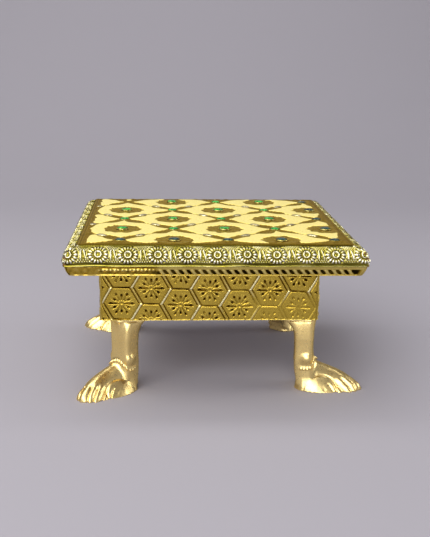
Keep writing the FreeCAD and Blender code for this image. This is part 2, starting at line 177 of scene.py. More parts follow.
# Stamped metal sheet under the enamel, dulled by its fine hatching, with painted shade on its low ground and
# painted highlights on its raised parts and glints.
sheet_finish = surface(
    "stamped_hatched_sheet", [(0.05, "#80641c"), (0.4, "#e3bf4b"), (0.75, "#f3da76"), (0.98, "#fff6cc")],
    roughness=0.24, grain_size=0.35, grain_strength=0.5, **gold_metal)
# Fired-looking cold enamel: an opaque cream resin with a glassy top.
enamel_finish = surface(
    "cream_enamel", [(0.0, "#efd86e"), (0.5, "#f7e37c"), (1.0, "#f9e886")],
    roughness=0.3, grain_size=0.8, grain_strength=0.03, relief_share=0.6, IOR=1.45)
# Polished sand-cast brass: soft mirror, slightly uneven from the mould.
cast_finish = surface(
    "polished_cast_brass", [(0.1, "#c79e44"), (0.5, "#fdda88"), (0.95, "#fee8a4")],
    roughness=0.3, grain_size=1.2, grain_strength=0.02, **gold_metal)
# Bright plated collets.
setting_finish = surface(
    "bright_plated_collet", [(0.0, "#a89a4c"), (0.6, "#d9cf90")],
    roughness=0.25, grain_size=0.4, grain_strength=0.1, relief_share=1.0, **gold_metal)
# Planed softwood board.
wood_finish = surface(
    "planed_board", [(0.0, "#7a4f2a"), (0.5, "#9a6a3c"), (1.0, "#b98a57")],
    roughness=0.6, grain_size=1.5, grain_strength=0.4, relief_share=0.5)
# Plain steel screws and nails.
steel_finish = surface(
    "plain_steel", [(0.0, "#8b8b8d"), (1.0, "#b9b9bb")],
    roughness=0.3, grain_size=0.3, grain_strength=0.1, relief_share=1.0, **grey_metal)

facet_size = 1.1
# The darker teal copy of the stones is painted shade; the emerald stops are the lit stones
shaded_stone_stops = [(0.1, "#08201f"), (0.5, "#153a34"), (0.9, "#2c5a4a")]
lit_stone_stops = [(0.1, "#0a5c22"), (0.5, "#1c9434"), (0.9, "#55cc48")]


def stone_material():
    """Cut green glass over a foil back: emerald facets that differ from one to the next, and a darker teal
    copy in painted shade for the stones set as shaded."""
    made, tree, shader = new_material("cut_green_glass", Roughness=0.2, IOR=1.45)
    place = add_node(tree, "ShaderNodeTexCoord").outputs["Object"]
    facet = add_node(tree, "ShaderNodeTexVoronoi", {"Vector": place, "Scale": 1 / (facet_size * MM)})
    tone = add_node(tree, "ShaderNodeSeparateColor", {"Color": facet.outputs["Color"]}).outputs["Red"]
    tint = add_node(tree, "ShaderNodeAttribute", attribute_name="tint").outputs["Fac"]
    colour = add_node(tree, "ShaderNodeMix", {
        "Factor": tint, 6: add_ramp(tree, tone, shaded_stone_stops), 7: add_ramp(tree, tone, lit_stone_stops)},
        data_type="RGBA")
    tree.links.new(colour.outputs[2], shader.inputs["Base Color"])
    return made


stone_finish = stone_material()


# Meshes and pieces


def new_object(name, data):
    """An object in the scene, at the origin."""
    made = bpy.data.objects.new(name, data)
    bpy.context.scene.collection.objects.link(made)
    return made


def new_mesh(name, points, faces, **attributes):
    """A mesh from points in millimetres, with a number of its own for each point under each name."""
    mesh = bpy.data.meshes.new(name)
    mesh.from_pydata((np.asarray(points, float) * MM).tolist(), [], faces)
    for label, values in attributes.items():
        layer = mesh.attributes.new(label, "FLOAT", "POINT")
        layer.data.foreach_set("value", np.asarray(values, np.float32).ravel())
    return mesh


def about(middle_x, points):
    """Points given about a middle, in the frame's own place."""
    return np.asarray(points, float) + np.array([middle_x, 0.0, 0.0])


def finish_piece(piece, material, nodes):
    """Gives a new piece its finish, sets it on the stool's one body and lets it stand for its solids."""
    piece.data.materials.clear()
    piece.data.materials.append(material)
    for polygon in piece.data.polygons:
        polygon.use_smooth = True
    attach(piece, "root")
    if nodes:
        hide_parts(*nodes)
    return piece


def add_piece(name, form, material, node, middle_x=top_middle_x):
    """A finished piece from a form: its points about the middle, its faces and its relief."""
    points, faces, relief = form
    faces = faces if isinstance(faces, list) else faces.tolist()
    mesh = new_mesh(name, about(middle_x, points), faces, relief=relief)
    mesh.validate()
    finish_piece(new_object(name, mesh), material, [node])


def grid_faces(rows, columns):
    """Quads over a rows by columns grid of points."""
    first = (np.arange(rows - 1)[:, None] * columns + np.arange(columns - 1)[None, :]).ravel()
    return np.stack([first, first + 1, first + columns + 1, first + columns], axis=1)


def unit(value):
    return np.clip(value, 0, 1)


def fade(value, low, high):
    """0 up to low, 1 from high on, and an even curve between them."""
    share = unit((value - low) / (high - low))
    return share * share * (3 - 2 * share)


def between(value, foot, head):
    """Rises over one fade and falls over another."""
    return fade(value, *foot) * (1 - fade(value, *head))


def ridge(distance, place, half_width, height=1.0):
    """A rounded ridge: its height on its line, 0 beyond its half width."""
    share = unit(1 - np.abs(distance - place) / half_width)
    return height * (share * share * (3 - 2 * share))


waves_in_sum = 7
wave_shares = (0.7, 1.6)


def waves(x, y, size, seed, height=1.0):
    """Slow unevenness of hand-pressed sheet, between plus and minus its height."""
    rng = np.random.default_rng(seed)
    total = np.zeros(np.broadcast(x, y).shape)
    for _ in range(waves_in_sum):
        angle = rng.uniform(0, 2 * math.pi)
        phase = rng.uniform(0, 2 * math.pi)
        stretch = rng.uniform(*wave_shares)
        total += np.sin((x * math.cos(angle) + y * math.sin(angle)) * 2 * math.pi * stretch / size + phase)
    return height * total / waves_in_sum


def nearest_ray(x, y, rays):
    """Radius of a point, its way across and along the nearest of evenly spread rays, and that ray."""
    radius = np.hypot(x, y)
    turn = np.arctan2(y, x) * rays / (2 * math.pi)
    ray = np.round(turn)
    off = (turn - ray) * 2 * math.pi / rays
    return radius, radius * np.sin(off), radius * np.cos(off), ray


def side_turn(points, quarter):
    """Turns front-side points by quarters of a turn about the middle."""
    angle = quarter * math.pi / 2
    turned = np.array(points)
    turned[..., 0] = points[..., 0] * math.cos(angle) - points[..., 1] * math.sin(angle)
    turned[..., 1] = points[..., 0] * math.sin(angle) + points[..., 1] * math.cos(angle)
    return turned


def run_grid(start, end, rows, columns):
    """Over a grid, distances up a side's sheet and shares of its half width along it."""
    return np.meshgrid(np.linspace(start, end, rows), np.linspace(-1, 1, columns), indexing="ij")


corner_radius = 2.6


def side_sheet(quarter, along, reach, outward, height, relief):
    """A side's sheet, its face moved outward from its reach and its ends set round the corner."""
    from_end = np.clip(reach - np.abs(along), 0, corner_radius)
    angle = (1 - from_end / corner_radius) * math.pi / 4
    near_end = np.abs(along) > reach - corner_radius
    rounded = np.sign(along) * (reach - corner_radius + corner_radius * np.sin(angle))
    along = np.where(near_end, rounded, along)
    rounding = np.where(near_end, corner_radius * (1 - np.cos(angle)), 0.0)
    points = np.stack([along, -(reach - rounding + outward), height], axis=-1)
    return side_turn(points, quarter).reshape(-1, 3), grid_faces(*along.shape), relief


# Node tree that sets what repeats

stray_seed = 7


def placing_tree(name):
    """A node tree that sets a copy of one shape at each point, turned by the point's own angle and a
    seeded small one."""
    tree = bpy.data.node_groups.new(name, "GeometryNodeTree")
    for label, kind in (("Geometry", "Geometry"), ("Shape", "Object"), ("Finish", "Material"),
                        ("Turn Limit", "Float")):
        tree.interface.new_socket(label, in_out="INPUT", socket_type="NodeSocket" + kind)
    tree.interface.new_socket("Geometry", in_out="OUTPUT", socket_type="NodeSocketGeometry")
    given = add_node(tree, "NodeGroupInput").outputs
    shape = add_node(tree, "GeometryNodeObjectInfo", {"Object": given["Shape"]})
    own_turn = add_node(tree, "GeometryNodeInputNamedAttribute", {"Name": "turn"}, data_type="FLOAT")
    stray = add_node(tree, "FunctionNodeRandomValue", {"Max": given["Turn Limit"], "Seed": stray_seed},
                     data_type="FLOAT")
    turn = add_node(tree, "ShaderNodeMath", {0: own_turn.outputs["Attribute"], 1: stray.outputs[1]},
                    operation="ADD")
    spin = add_node(tree, "ShaderNodeCombineXYZ", {"Z": turn.outputs[0]})
    copies = add_node(tree, "GeometryNodeInstanceOnPoints", {
        "Points": given["Geometry"], "Instance": shape.outputs["Geometry"],
        "Rotation": spin.outputs["Vector"]})
    real = add_node(tree, "GeometryNodeRealizeInstances", {"Geometry": copies.outputs["Instances"]})
    painted = add_node(tree, "GeometryNodeSetMaterial", {
        "Geometry": real.outputs["Geometry"], "Material": given["Finish"]})
    add_node(tree, "NodeGroupOutput", {"Geometry": painted.outputs["Geometry"]})
    return tree


placing = placing_tree("place_on_points")


def place_copies(name, shape, spots, turns, tints, finish, turn_limit):
    """Sets copies of a shape at spots about the middle of the top, and keeps them as a plain mesh."""
    carrier = new_object(name + "_points", new_mesh(
        name + "_points", about(top_middle_x, spots), [], turn=turns, tint=tints))
    modifier = carrier.modifiers.new("tree", "NODES")
    modifier.node_group = placing
    inputs = {"Shape": shape, "Finish": finish, "Turn Limit": turn_limit}
    for item in placing.interface.items_tree:
        if item.item_type == "SOCKET" and item.in_out == "INPUT" and item.name in inputs:
            modifier[item.identifier] = inputs[item.name]
    bpy.context.view_layer.update()
    graph = bpy.context.evaluated_depsgraph_get()
    mesh = bpy.data.meshes.new_from_object(carrier.evaluated_get(graph))
    mesh.name = name
    bpy.data.objects.remove(carrier)
    bpy.data.objects.remove(shape)
    return new_object(name, mesh)


# Embossed edge: a low lip, then an arc up to the flat of the top

ridge_bottom = 5.0
ridge_top = 8.0
edge_round_width = half_top - half_flat
edge_round_height = top_plane - top_underside - ridge_top
edge_radius = (edge_round_width ** 2 + edge_round_height ** 2) / (2 * edge_round_height)
edge_centre_height = top_plane - top_underside - edge_radius
edge_start_angle = math.asin((ridge_top - edge_centre_height) / edge_radius)
ridge_run = ridge_top - ridge_bottom
arc_run = edge_radius * (math.pi / 2 - edge_start_angle)
edge_run = ridge_run + arc_run

# Rosettes with a ring boss, petals and a rim
rosette_pitch = 14.62
rosette_phase = 0.15
rosette_height = 6.5
upper_stretch_share = 1.3
boss_ridge = (1.5, 0.85, 0.85)
centre_ridge = (0.0, 0.9, 0.3)
rosette_petals = 16
petal_middle_radius = 3.9
petal_half_length = 1.4
petal_width_share = 0.165
petal_root_width = 0.01
upper_petals_start = 0.8
upper_petals_share = 0.65
rim_ridge = (5.4, 0.4, 0.45)
rim_fade = (5.4, 5.7)
# Two leaf strokes between the rosettes, and a ground of small grains
leaf_foot_fade = (-2.9, -2.2)
leaf_head_fade = (2.4, 3.2)
left_leaf_ridge = (-1.15, 0.75)
right_leaf_ridge = (1.0, 0.8)
right_leaf_lean_share = 0.22
grain_row = 1.0
grain_pitch = 1.2
grain_radius = 0.52
grain_share = 0.8
grain_in_leaves_share = 0.35
worn_share = 0.8
worn_waves = (9.0, 71, 0.45)
band_foot_fade = (1.6, 2.0)
band_head_fade = (edge_run - 0.5, edge_run - 0.1)
lip_share = 0.4
lip_foot_fade = (0.0, 0.3)
lip_head_fade = (0.55, 0.85)
# The sheet's own slackness, its folds at the mitres and its turned-under end
draw_shift = 40
slack_run_share = 0.2
slack_along_share = 0.35
slack_waves = (31.0, 3, 0.3)
sheet_waves = (17.0, 4, 0.08)
fold_share = 0.55
fold_waves = [(0.4, 1.7, 0.8, 0.05), (0.15, 5.3, 0.0, 0.0)]
mitre_fade = (0.2, 2.0)
edge_start_fade = (-0.02, 0.1)
edge_end_fade = (edge_run - 0.35, edge_run - 0.02)
turned_under_share = 0.6
# Tone at the foil's two ends, where it turns under the lip and where it meets the top sheet: painted shade
foil_end_painted_shade = -0.1
edge_depth_share = 0.95


def edge_section(run):
    """Inset, height and outward direction at a distance up the edge from its lower lip.
    A negative run is the lip's underside."""
    angle = edge_start_angle + np.clip(run - ridge_run, 0, arc_run) / edge_radius
    on_arc = run > ridge_run
    inset = np.where(on_arc, edge_round_width - edge_radius * np.cos(angle), np.clip(-run, 0, None))
    height = np.where(on_arc, edge_centre_height + edge_radius * np.sin(angle),
                      ridge_bottom + np.clip(run, 0, None))
    return inset, height, np.where(on_arc, np.cos(angle), 1.0), np.where(on_arc, np.sin(angle), 0.0)


def rosette_band(along, run):
    """Pressed height of the edge pattern."""
    cell = (along - rosette_phase) / rosette_pitch
    local_x = (cell - np.round(cell)) * rosette_pitch
    local_y = run - rosette_height
    stretched = np.where(local_y > 0, local_y / upper_stretch_share, local_y)
    radius, across = nearest_ray(local_x, stretched, rosette_petals)[:2]
    petal = unit(1 - (across / (petal_width_share * radius + petal_root_width)) ** 2
                 - ((radius - petal_middle_radius) / petal_half_length) ** 2)
    petal = np.sqrt(petal) * np.where(local_y > upper_petals_start, upper_petals_share, 1.0)
    height = ridge(radius, *boss_ridge) + ridge(radius, *centre_ridge) + petal + ridge(radius, *rim_ridge)
    side = np.where(local_x > 0, local_x - rosette_pitch / 2, local_x + rosette_pitch / 2)
    leaf_zone = between(local_y, leaf_foot_fade, leaf_head_fade)
    leaf = leaf_zone * np.maximum(ridge(side, *left_leaf_ridge),
                                  ridge(side + right_leaf_lean_share * local_y, *right_leaf_ridge))
    row = np.round(local_y / grain_row)
    grain_x = side - (np.mod(row, 2) - 0.5) * grain_pitch / 2
    grain_x = grain_x - np.round(grain_x / grain_pitch) * grain_pitch
    grain = np.sqrt(unit(1 - (np.hypot(grain_x, local_y - row * grain_row) / grain_radius) ** 2))
    worn = worn_share + waves(along, run, *worn_waves)
    grain = grain * (grain_share * (1 - leaf_zone) + grain_in_leaves_share * leaf_zone * (1 - leaf))
    height = height + worn * (leaf + grain) * fade(radius, *rim_fade)
    return (height * between(run, band_foot_fade, band_head_fade)
            + lip_share * between(run, lip_foot_fade, lip_head_fade))


def edge_foil(quarter):
    rows = int((edge_run + edge_relief) / relief_step) + 2
    run, share = run_grid(-edge_relief, edge_run, rows, int(2 * half_top / relief_step))
    inset, height, out, up = edge_section(run)
    along = share * (half_top - inset)
    slack = waves(along, run * slack_run_share + quarter * draw_shift, *slack_waves)
    pressed = rosette_band(along + slack_along_share * slack, run + slack)
    folds = fold_share + sum(rise * np.sin(run * pace + phase + along * lean)
                             for rise, pace, phase, lean in fold_waves)
    plain = fade((half_top - inset) - np.abs(along), *mitre_fade)
    pressed = pressed * plain + folds * (1 - plain)
    pressed = pressed + waves(along, run + quarter * draw_shift, *sheet_waves)
    ends = between(run, edge_start_fade, edge_end_fade)
    turned_under = np.where(run < ridge_run, 1 - turned_under_share * unit(1 + run / edge_relief), 1.0)
    depth = (unit(pressed) * ends + turned_under * (1 - ends) - 1) * edge_relief * edge_depth_share
    # Both ends of the sheet get the darkest tone, a painted shade
    return side_sheet(quarter, along, half_top - inset, depth * out, top_underside + height + depth * up,
                      unit(pressed) * ends + foil_end_painted_shade * (1 - ends))


for quarter, side in enumerate(sides):
    add_piece("embossed_edge_" + side, edge_foil(quarter), edge_foil_finish, "edge_foil_" + side)


# Rope edging: a hollowed strip with a lip and leaning strands set along it

rope_foot = np.array([3.0, 0.0])
rope_rise = np.array([edge_relief, ridge_bottom]) - rope_foot
rope_length = float(np.hypot(*rope_rise))
rope_out = np.array([-rope_rise[1], rope_rise[0]]) / rope_length
rope_crown = 0.35
rope_turned_under = 1.0
rope_hollow = 0.6
rope_draw_shift = 30
# Shares are of the way up the rope's slope
hollow_foot_shares = (0.05, 0.15)
hollow_head_shares = (0.65, 0.72)
lip_end_shares = (0.85, 1.0)
crumple_end_shares = (0.8, 1.0)
rope_mitre_fade = (2.0, 5.0)
rope_lip = 0.1
rope_lip_fade = (0.0, 0.6)
rope_lip_waves = (14.0, 8, 0.1)
# The twist is flattened where the foil folds round the front left corner, with a row of small beads
flattened_fade = (-34.0, -24.0)
crumple_start_fade = (0.0, 0.8)
crumple_depth = 0.4
crumple_waves = (9.0, 81)
crumple_paces = (2.2, 3.0)
bead_start_fade = (-60.0, -57.0)
bead_end_fade = (-30.0, -27.0)
bead_row_shares = (0.6, 0.2)
bead_pitch = 1.9
bead_ground_depth = 0.25
# The rope's tone: painted shade where it is hollowed, pushed in or crumpled, and painted highlights on its
# beads
rope_tone = 0.8
bead_painted_highlight = 0.4
crumple_painted_shade = 0.6
# Strands
rope_pitch = 3.9
strand_lean = 1.05
strand_middle_share = 0.41
strand_half_share = 0.32
strand_width_share = 0.275
strand_spread_share = 0.14
strand_end_share = 0.6
strand_side_power = 2.4
strand_end_power = 6
strand_swell_power = 0.6
strand_slot_painted_shade = 0.15
strand_steps = 9


def rope_surface(run):
    """Inset and height of the rope's swelling outline, from its foot up."""
    crown = rope_crown * (1 - (2 * run / rope_length - 1) ** 2)
    return (rope_foot[i] + rope_rise[i] * run / rope_length + rope_out[i] * crown for i in (0, 1))


def rope_presence(along, quarter):
    """How sharply the twist is stamped."""
    return fade(along, *flattened_fade) if quarter == 0 else np.ones_like(along)


def rope_strip(quarter):
    rows = int((rope_length + rope_turned_under) / relief_step) + 3
    run, share = run_grid(-rope_turned_under, rope_length, rows, int(half_top / relief_step))
    inset, height = rope_surface(np.clip(run, 0, None))
    inset = inset + np.clip(-run, 0, None)
    along = share * (half_top - inset)
    share_up = run / rope_length
    presence = rope_presence(along, quarter)
    hollow = between(share_up, hollow_foot_shares, hollow_head_shares) * presence \
        * fade((half_top - inset) - np.abs(along), *rope_mitre_fade)
    lip = (rope_lip + waves(along, run + quarter * rope_draw_shift, *rope_lip_waves)) \
        * fade(run, *rope_lip_fade) * (1 - fade(share_up, *lip_end_shares))
    folded = (1 - presence) * fade(run, *crumple_start_fade) * (1 - fade(share_up, *crumple_end_shares))
    uneven = waves(along * crumple_paces[0], run * crumple_paces[1], *crumple_waves)
    beaded = between(along, bead_start_fade, bead_end_fade) * (quarter == 0)
    bead = ridge(share_up, *bead_row_shares) * np.abs(np.sin(along * math.pi / bead_pitch)) * beaded
    crumple = folded * (crumple_depth * (1 + uneven) + bead_ground_depth * beaded) * (1 - bead)
    depth = -(hollow * rope_hollow + (lip + crumple) * (1 - hollow))
    # Painted shade in the hollows, along the pushed-in lip and in the crumples, and painted highlights on the
    # beads
    relief = unit(rope_tone + bead_painted_highlight * bead - hollow - lip - crumple_painted_shade * crumple)
    return side_sheet(quarter, along, half_top - inset, depth * -rope_out[0],
                      top_underside + height + depth * rope_out[1], relief)


def strand_shape():
    """One leaning strand of the front's rope, in its place up the slope, with X along the edge."""
    v, u = run_grid(-1, 1, strand_steps, strand_steps)
    inset, height = rope_surface((strand_middle_share + v * strand_half_share) * rope_length)
    half_width = rope_pitch * (strand_width_share + strand_spread_share * v * v)
    swell = ((1 - np.abs(u) ** strand_side_power)
             * (1 - strand_end_share * np.abs(v) ** strand_end_power)) ** strand_swell_power
    depth = -rope_hollow * (1 - swell)
    points = np.stack([u * half_width - v * strand_lean, -(half_top - inset + depth * -rope_out[0]),
                       top_underside + height + depth * rope_out[1]], axis=-1).reshape(-1, 3)
    # Painted shade down the strand's sides into the slots
    tone = strand_slot_painted_shade + (1 - strand_slot_painted_shade) * swell
    faces = grid_faces(strand_steps, strand_steps).tolist()
    return new_object("strand_shape", new_mesh("strand_shape", points, faces, relief=tone))


strand_spots = []
strand_turns = []
strand_count = int((half_top - rope_foot[0] - rope_mitre_fade[1]) / rope_pitch)
for quarter, side in enumerate(sides):
    add_piece("rope_edging_" + side, rope_strip(quarter), rope_finish, "rope_trim_" + side)
    for number in range(-strand_count, strand_count + 1):
        along = number * rope_pitch
        if rope_presence(np.array(along), quarter) > 0.5:
            strand_spots.append(side_turn(np.array([along, 0.0, 0.0]), quarter))
            strand_turns.append(quarter * math.pi / 2)
strands = place_copies("rope_strands", strand_shape(), strand_spots, strand_turns,
                       np.zeros(len(strand_turns)), rope_finish, 0.0)
finish_piece(strands, rope_finish, [])


# Apron foil: hexagons with a flower in each

hexagon_side = 10.17
hexagon_row = 16.9
hexagon_phase_z = 16.3
apron_level = 0.6
# The walls: ribs, raised higher where they rise to the right and so given painted highlights by the colour
# ramp, with creases beside them in painted shade
rib_height = 0.45
rib_fade = (0.12, 0.36)
falling_rib_share = 0.4
level_wall_fade = (0.0, 0.8)
crease_ridge = (0.65, 0.36, 0.6)
level_crease_shift = 0.5
rising_crease_share = 0.35
# The flowers: long and short rays of a spade on a line, a bar across and a heart
flower_rays = 12
spade_places = (5.5, 4.2)
spade_half_width = 0.62
spade_half_length = 0.85
ray_line_ridge = (0.0, 0.36, 0.4)
ray_line_fade = (1.2, 1.9)
ray_line_end = 0.4
cut_limit = 0.95
flower_strength = 0.85
flower_waves = (7.0, 61, 0.8)
faintest_flower = 0.3
petal_edge_ridge = (0.95, 0.4, 0.13)
petal_edge_start_fade = (1.6, 3.0)
petal_edge_end_fade = (5.6, 6.8)
bar_ridge = (-0.25, 0.42, 0.65)
bar_start_fade = (0.8, 1.6)
bar_end_fade = (6.2, 7.0)
heart_ridge = (0.0, 0.9, 0.35)
# The sheet: its drift and tilt, and where it is rubbed or crumpled
apron_tilt = math.radians(1.3)
apron_draw_shift = 50
drift_waves = (60.0, 6, 0.5)
rubbed_along_fade = (14.0, 26.0)
rubbed_height_fade = (9.0, 16.0)
rubbed_share = 0.7
rubbed_level = 0.42
end_clear_fade = (0.3, 2.2)
foot_clear_fade = (0.1, 0.6)
end_crumple_level = 0.6
end_crumple_waves = (9.0, 15, 0.22)
end_crumple_paces = (3, 1.5)
end_crumple_shift = 20
apron_waves = (26.0, 5, 0.07)
apron_end_fade = (0.0, 0.5)
apron_foot_fade = (-0.02, 0.15)
apron_depth_share = 0.9
hexagon_slope = math.sqrt(3) / 2


def hexagon_pattern(along, height):
    """Pressed height of the hexagons and their flowers."""
    column = np.round(along / (1.5 * hexagon_side))
    reach = np.full(np.broadcast(along, height).shape, np.inf)
    x = np.zeros_like(reach)
    z = np.zeros_like(reach)
    for near in (column - 1, column, column + 1):
        lowest = hexagon_phase_z - hexagon_row / 2 + np.mod(near + 1, 2) * hexagon_row / 2
        local_x = along - near * 1.5 * hexagon_side
        local_z = height - lowest - np.round((height - lowest) / hexagon_row) * hexagon_row
        local = np.maximum(np.abs(local_z), np.abs(local_x) * hexagon_slope + np.abs(local_z) / 2)
        closer = local < reach
        reach = np.where(closer, local, reach)
        x = np.where(closer, local_x, x)
        z = np.where(closer, local_z, z)
    from_wall = hexagon_row / 2 - reach
    level_wall = fade(np.abs(z) - np.abs(x) * hexagon_slope - np.abs(z) / 2, *level_wall_fade)
    rising = x * z < 0
    rib = rib_height * (1 - fade(from_wall, *rib_fade)) * (1 - level_wall) \
        * np.where(rising, 1.0, falling_rib_share)
    crease = ridge(from_wall + level_crease_shift * level_wall, *crease_ridge) \
        * np.where(rising & (level_wall < 0.5), rising_crease_share, 1.0)
    radius, across, outward, ray = nearest_ray(x, z, flower_rays)
    strength = np.clip(flower_strength + waves(along, height, *flower_waves), faintest_flower, 1.0)
    spade_place = np.where(np.mod(ray, 2) == 0, *spade_places)
    spade = unit(1 - np.hypot(across / spade_half_width, (outward - spade_place) / spade_half_length))
    line = ridge(across, *ray_line_ridge) * fade(outward, *ray_line_fade) \
        * (1 - fade(outward, spade_place - ray_line_end, spade_place))
    cuts = np.clip(np.sqrt(spade) + line, 0, cut_limit) * strength
    petal_edge = strength * ridge(np.abs(across), *petal_edge_ridge) \
        * between(radius, petal_edge_start_fade, petal_edge_end_fade)
    bar = ridge(z, *bar_ridge) * between(np.abs(x), bar_start_fade, bar_end_fade)
    cuts = np.maximum(np.maximum(cuts, bar), ridge(radius, *heart_ridge))
    # Through the colour ramp the ribs and petal edges get painted highlights, and the creases and cuts get
    # painted shade
    return apron_level + rib - crease - cuts + petal_edge


def apron_foil(quarter):
    rows = int((apron_height + apron_relief) / relief_step)
    rise, share = run_grid(-apron_relief, apron_height, rows, int(2 * half_apron / relief_step))
    height = np.clip(rise, 0, None)
    along = share * half_apron
    drift = waves(along, height + quarter * apron_draw_shift, *drift_waves)
    pattern = hexagon_pattern(along + drift, height + along * math.tan(apron_tilt) + drift)
    if quarter == 0:
        # The front's pattern is rubbed down low at its right
        rubbed = fade(along, *rubbed_along_fade) * (1 - fade(height, *rubbed_height_fade))
        pattern = pattern * (1 - rubbed_share * rubbed) + rubbed_level * rubbed
    from_end = half_apron - np.abs(along)
    clear = fade(from_end, *end_clear_fade) * fade(height, *foot_clear_fade)
    crumple = end_crumple_level + waves(
        along * end_crumple_paces[0], height * end_crumple_paces[1] + quarter * end_crumple_shift,
        *end_crumple_waves)
    pressed = pattern * clear + crumple * (1 - clear)
    pressed = pressed + waves(along, height + quarter * apron_draw_shift, *apron_waves)
    ends = fade(from_end, *apron_end_fade) * fade(rise, *apron_foot_fade)
    level = unit(pressed) * ends + (1 - ends)
    depth = (level - 1) * apron_relief * apron_depth_share
    return side_sheet(quarter, along, half_apron, depth - np.clip(-rise, 0, None), leg_height + height, level)


for quarter, side in enumerate(sides):
    add_piece("embossed_apron_" + side, apron_foil(quarter), apron_foil_finish,
              "apron_foil_" + side, apron_middle_x)


# Top: lattice formula shared by the stamped sheet and the enamel

lattice_step_x = 27.3
lattice_step_y = 28.7
lattice_shift_x = 6.35
lattice_count = 5
lattice_middle = (lattice_count - 1) / 2
lattice_run = math.hypot(lattice_step_x, lattice_step_y)
# The lines, their leaves and the glints raised on them, placed by shares of a line's run; the glints also get
# a painted highlight
line_half_width = 0.7
line_bend = 1.0
leaf_half_width = 2.3
leaf_place_share = 0.21
leaf_reach_share = 0.2
leaf_power = 0.7
leaf_waves = (20.0, 41, 1.1)
glint_place_share = 0.38
glint_half_length = 3.5
glint_half_width = 1.8
glint_rise = 0.95
glint_clearing = 0.9
# Medallions with a scalloped outline and stamped petals
medallion_half_width = 9.1
medallion_half_depth = 9.8
medallion_scallops = 10
scallop_depth = 0.9
medallion_fade = (-0.3, 0.3)
petal_rises = (0.03, 0.27)
petal_start_shares = (0.35, 0.5)
petal_end_shares = (0.85, 1.0)
medallion_rim_ridge = (0.95, 0.09, 0.2)
# The sheet's stamped ground and its border lines
vein_ridge = (-1.6, 0.7, 0.18)
ring_ridge = (2.9, 0.5, 0.2)
hatch_level = 0.13
hatch_rise = 0.12
hatch_paces = (3.4, 1.3)
hatch_waves = (9.0, 25, 2)
hatch_in_medallion_share = 0.1
border_ridges = [(0.85, 0.45, 0.24), (2.35, 0.45, 0.24)]
border_waves = (6.0, 24)
open_ground_fade = (2.6, 3.2)
stamp_limit = 0.36
# Painted shade on the sheet's low ground, and painted highlights on its raised parts and its glints
shading_per_height = 1.9
ground_light_limit = 0.62
glint_painted_highlight = 0.38
glint_highlight_fade = (0.1, 0.3)
# Enamel
enamel_rise = 0.35
enamel_seat = 0.02
enamel_shoulder = 0.9
enamel_swell = 0.03
enamel_swell_waves = (12.0, 31, 0.03)
# Clear margins at the left, right, front and back
enamel_margins = (4.4, 4.0, 5.6, 2.4)
stone_ground_radius = 2.475
medallion_edge_waves = (6.0, 23, 1.2)
margin_waves = (12.0, 21, 1.5)
outline_waves = (5.0, 22, 0.15)
line_reach = 4.0
line_rounding = 3.2


def site_place(column, row):
    return (lattice_shift_x + (column - lattice_middle) * lattice_step_x,
            (row - lattice_middle) * lattice_step_y)


def lattice_units(x, y):
    """A place as columns and rows of the lattice."""
    origin_x, origin_y = site_place(0, 0)
    return (x - origin_x) / lattice_step_x, (y - origin_y) / lattice_step_y


def near_sites(u, v):
    """The way from each of the nine nearest sites, across and along, and whether a medallion sits there."""
    for step_u, step_v in np.ndindex(3, 3):
        site_u = np.round(u) + step_u - 1
        site_v = np.round(v) + step_v - 1
        yield (u - site_u) * lattice_step_x, (v - site_v) * lattice_step_y, np.mod(site_u + site_v, 2) == 1


def lattice_lines(x, y):
    """Distance past the edge of the nearest lattice line, positive outside it, the distance to the nearest
    small stone, and the height of the raised glint on the line."""
    u, v = lattice_units(x, y)
    clearance = np.full(x.shape, np.inf)
    glints = np.zeros(x.shape)
    uneven = 1 + waves(x, y, *leaf_waves)
    for sign in (1, -1):
        # A family of parallel diagonals through the small stones
        level = v - sign * u
        nearest = 2 * np.round(level / 2)
        across = (level - nearest) / math.hypot(1 / lattice_step_x, 1 / lattice_step_y)
        along_share = (u * lattice_step_x ** 2 + sign * v * lattice_step_y ** 2) / lattice_run ** 2
        share = np.mod(along_share - sign * nearest * lattice_step_y ** 2 / lattice_run ** 2, 1.0)
        across = across - line_bend * np.sin(2 * math.pi * share) * sign
        half = line_half_width
        for place in (leaf_place_share, 1 - leaf_place_share):
            leaf = unit(1 - ((share - place) / leaf_reach_share) ** 2) ** leaf_power
            half = half + leaf_half_width * uneven * leaf
        glint_place = glint_place_share if sign > 0 else 1 - glint_place_share
        cleared = 1 - ((share - glint_place) * lattice_run / glint_half_length) ** 2
        half = half + glint_clearing * unit(cleared)
        clearance = np.minimum(clearance, np.abs(across) - half)
        glints = np.maximum(glints, glint_rise * np.sqrt(unit(cleared - (across / glint_half_width) ** 2)))
    small = np.full(x.shape, np.inf)
    for across, along, is_medallion in near_sites(u, v):
        small = np.where(is_medallion, small, np.minimum(small, np.hypot(across, along)))
    return clearance, small, glints


def medallion_distance(x, y):
    """Signed distance to the nearest medallion's scalloped outline, its radius share and its angle."""
    u, v = lattice_units(x, y)
    best = np.full(x.shape, np.inf)
    best_share = np.zeros_like(best)
    best_angle = np.zeros_like(best)
    for across, along, is_medallion in near_sites(u, v):
        across = across / medallion_half_width
        along = along / medallion_half_depth
        angle = np.arctan2(along, across)
        share = np.hypot(across, along)
        scallop = scallop_depth * np.abs(np.cos(medallion_scallops * angle / 2))
        distance = (share - 1) * medallion_half_width - scallop
        closer = is_medallion & (distance < best)
        best = np.where(closer, distance, best)
        best_share = np.where(closer, share, best_share)
        best_angle = np.where(closer, angle, best_angle)
    return best, best_share, best_angle


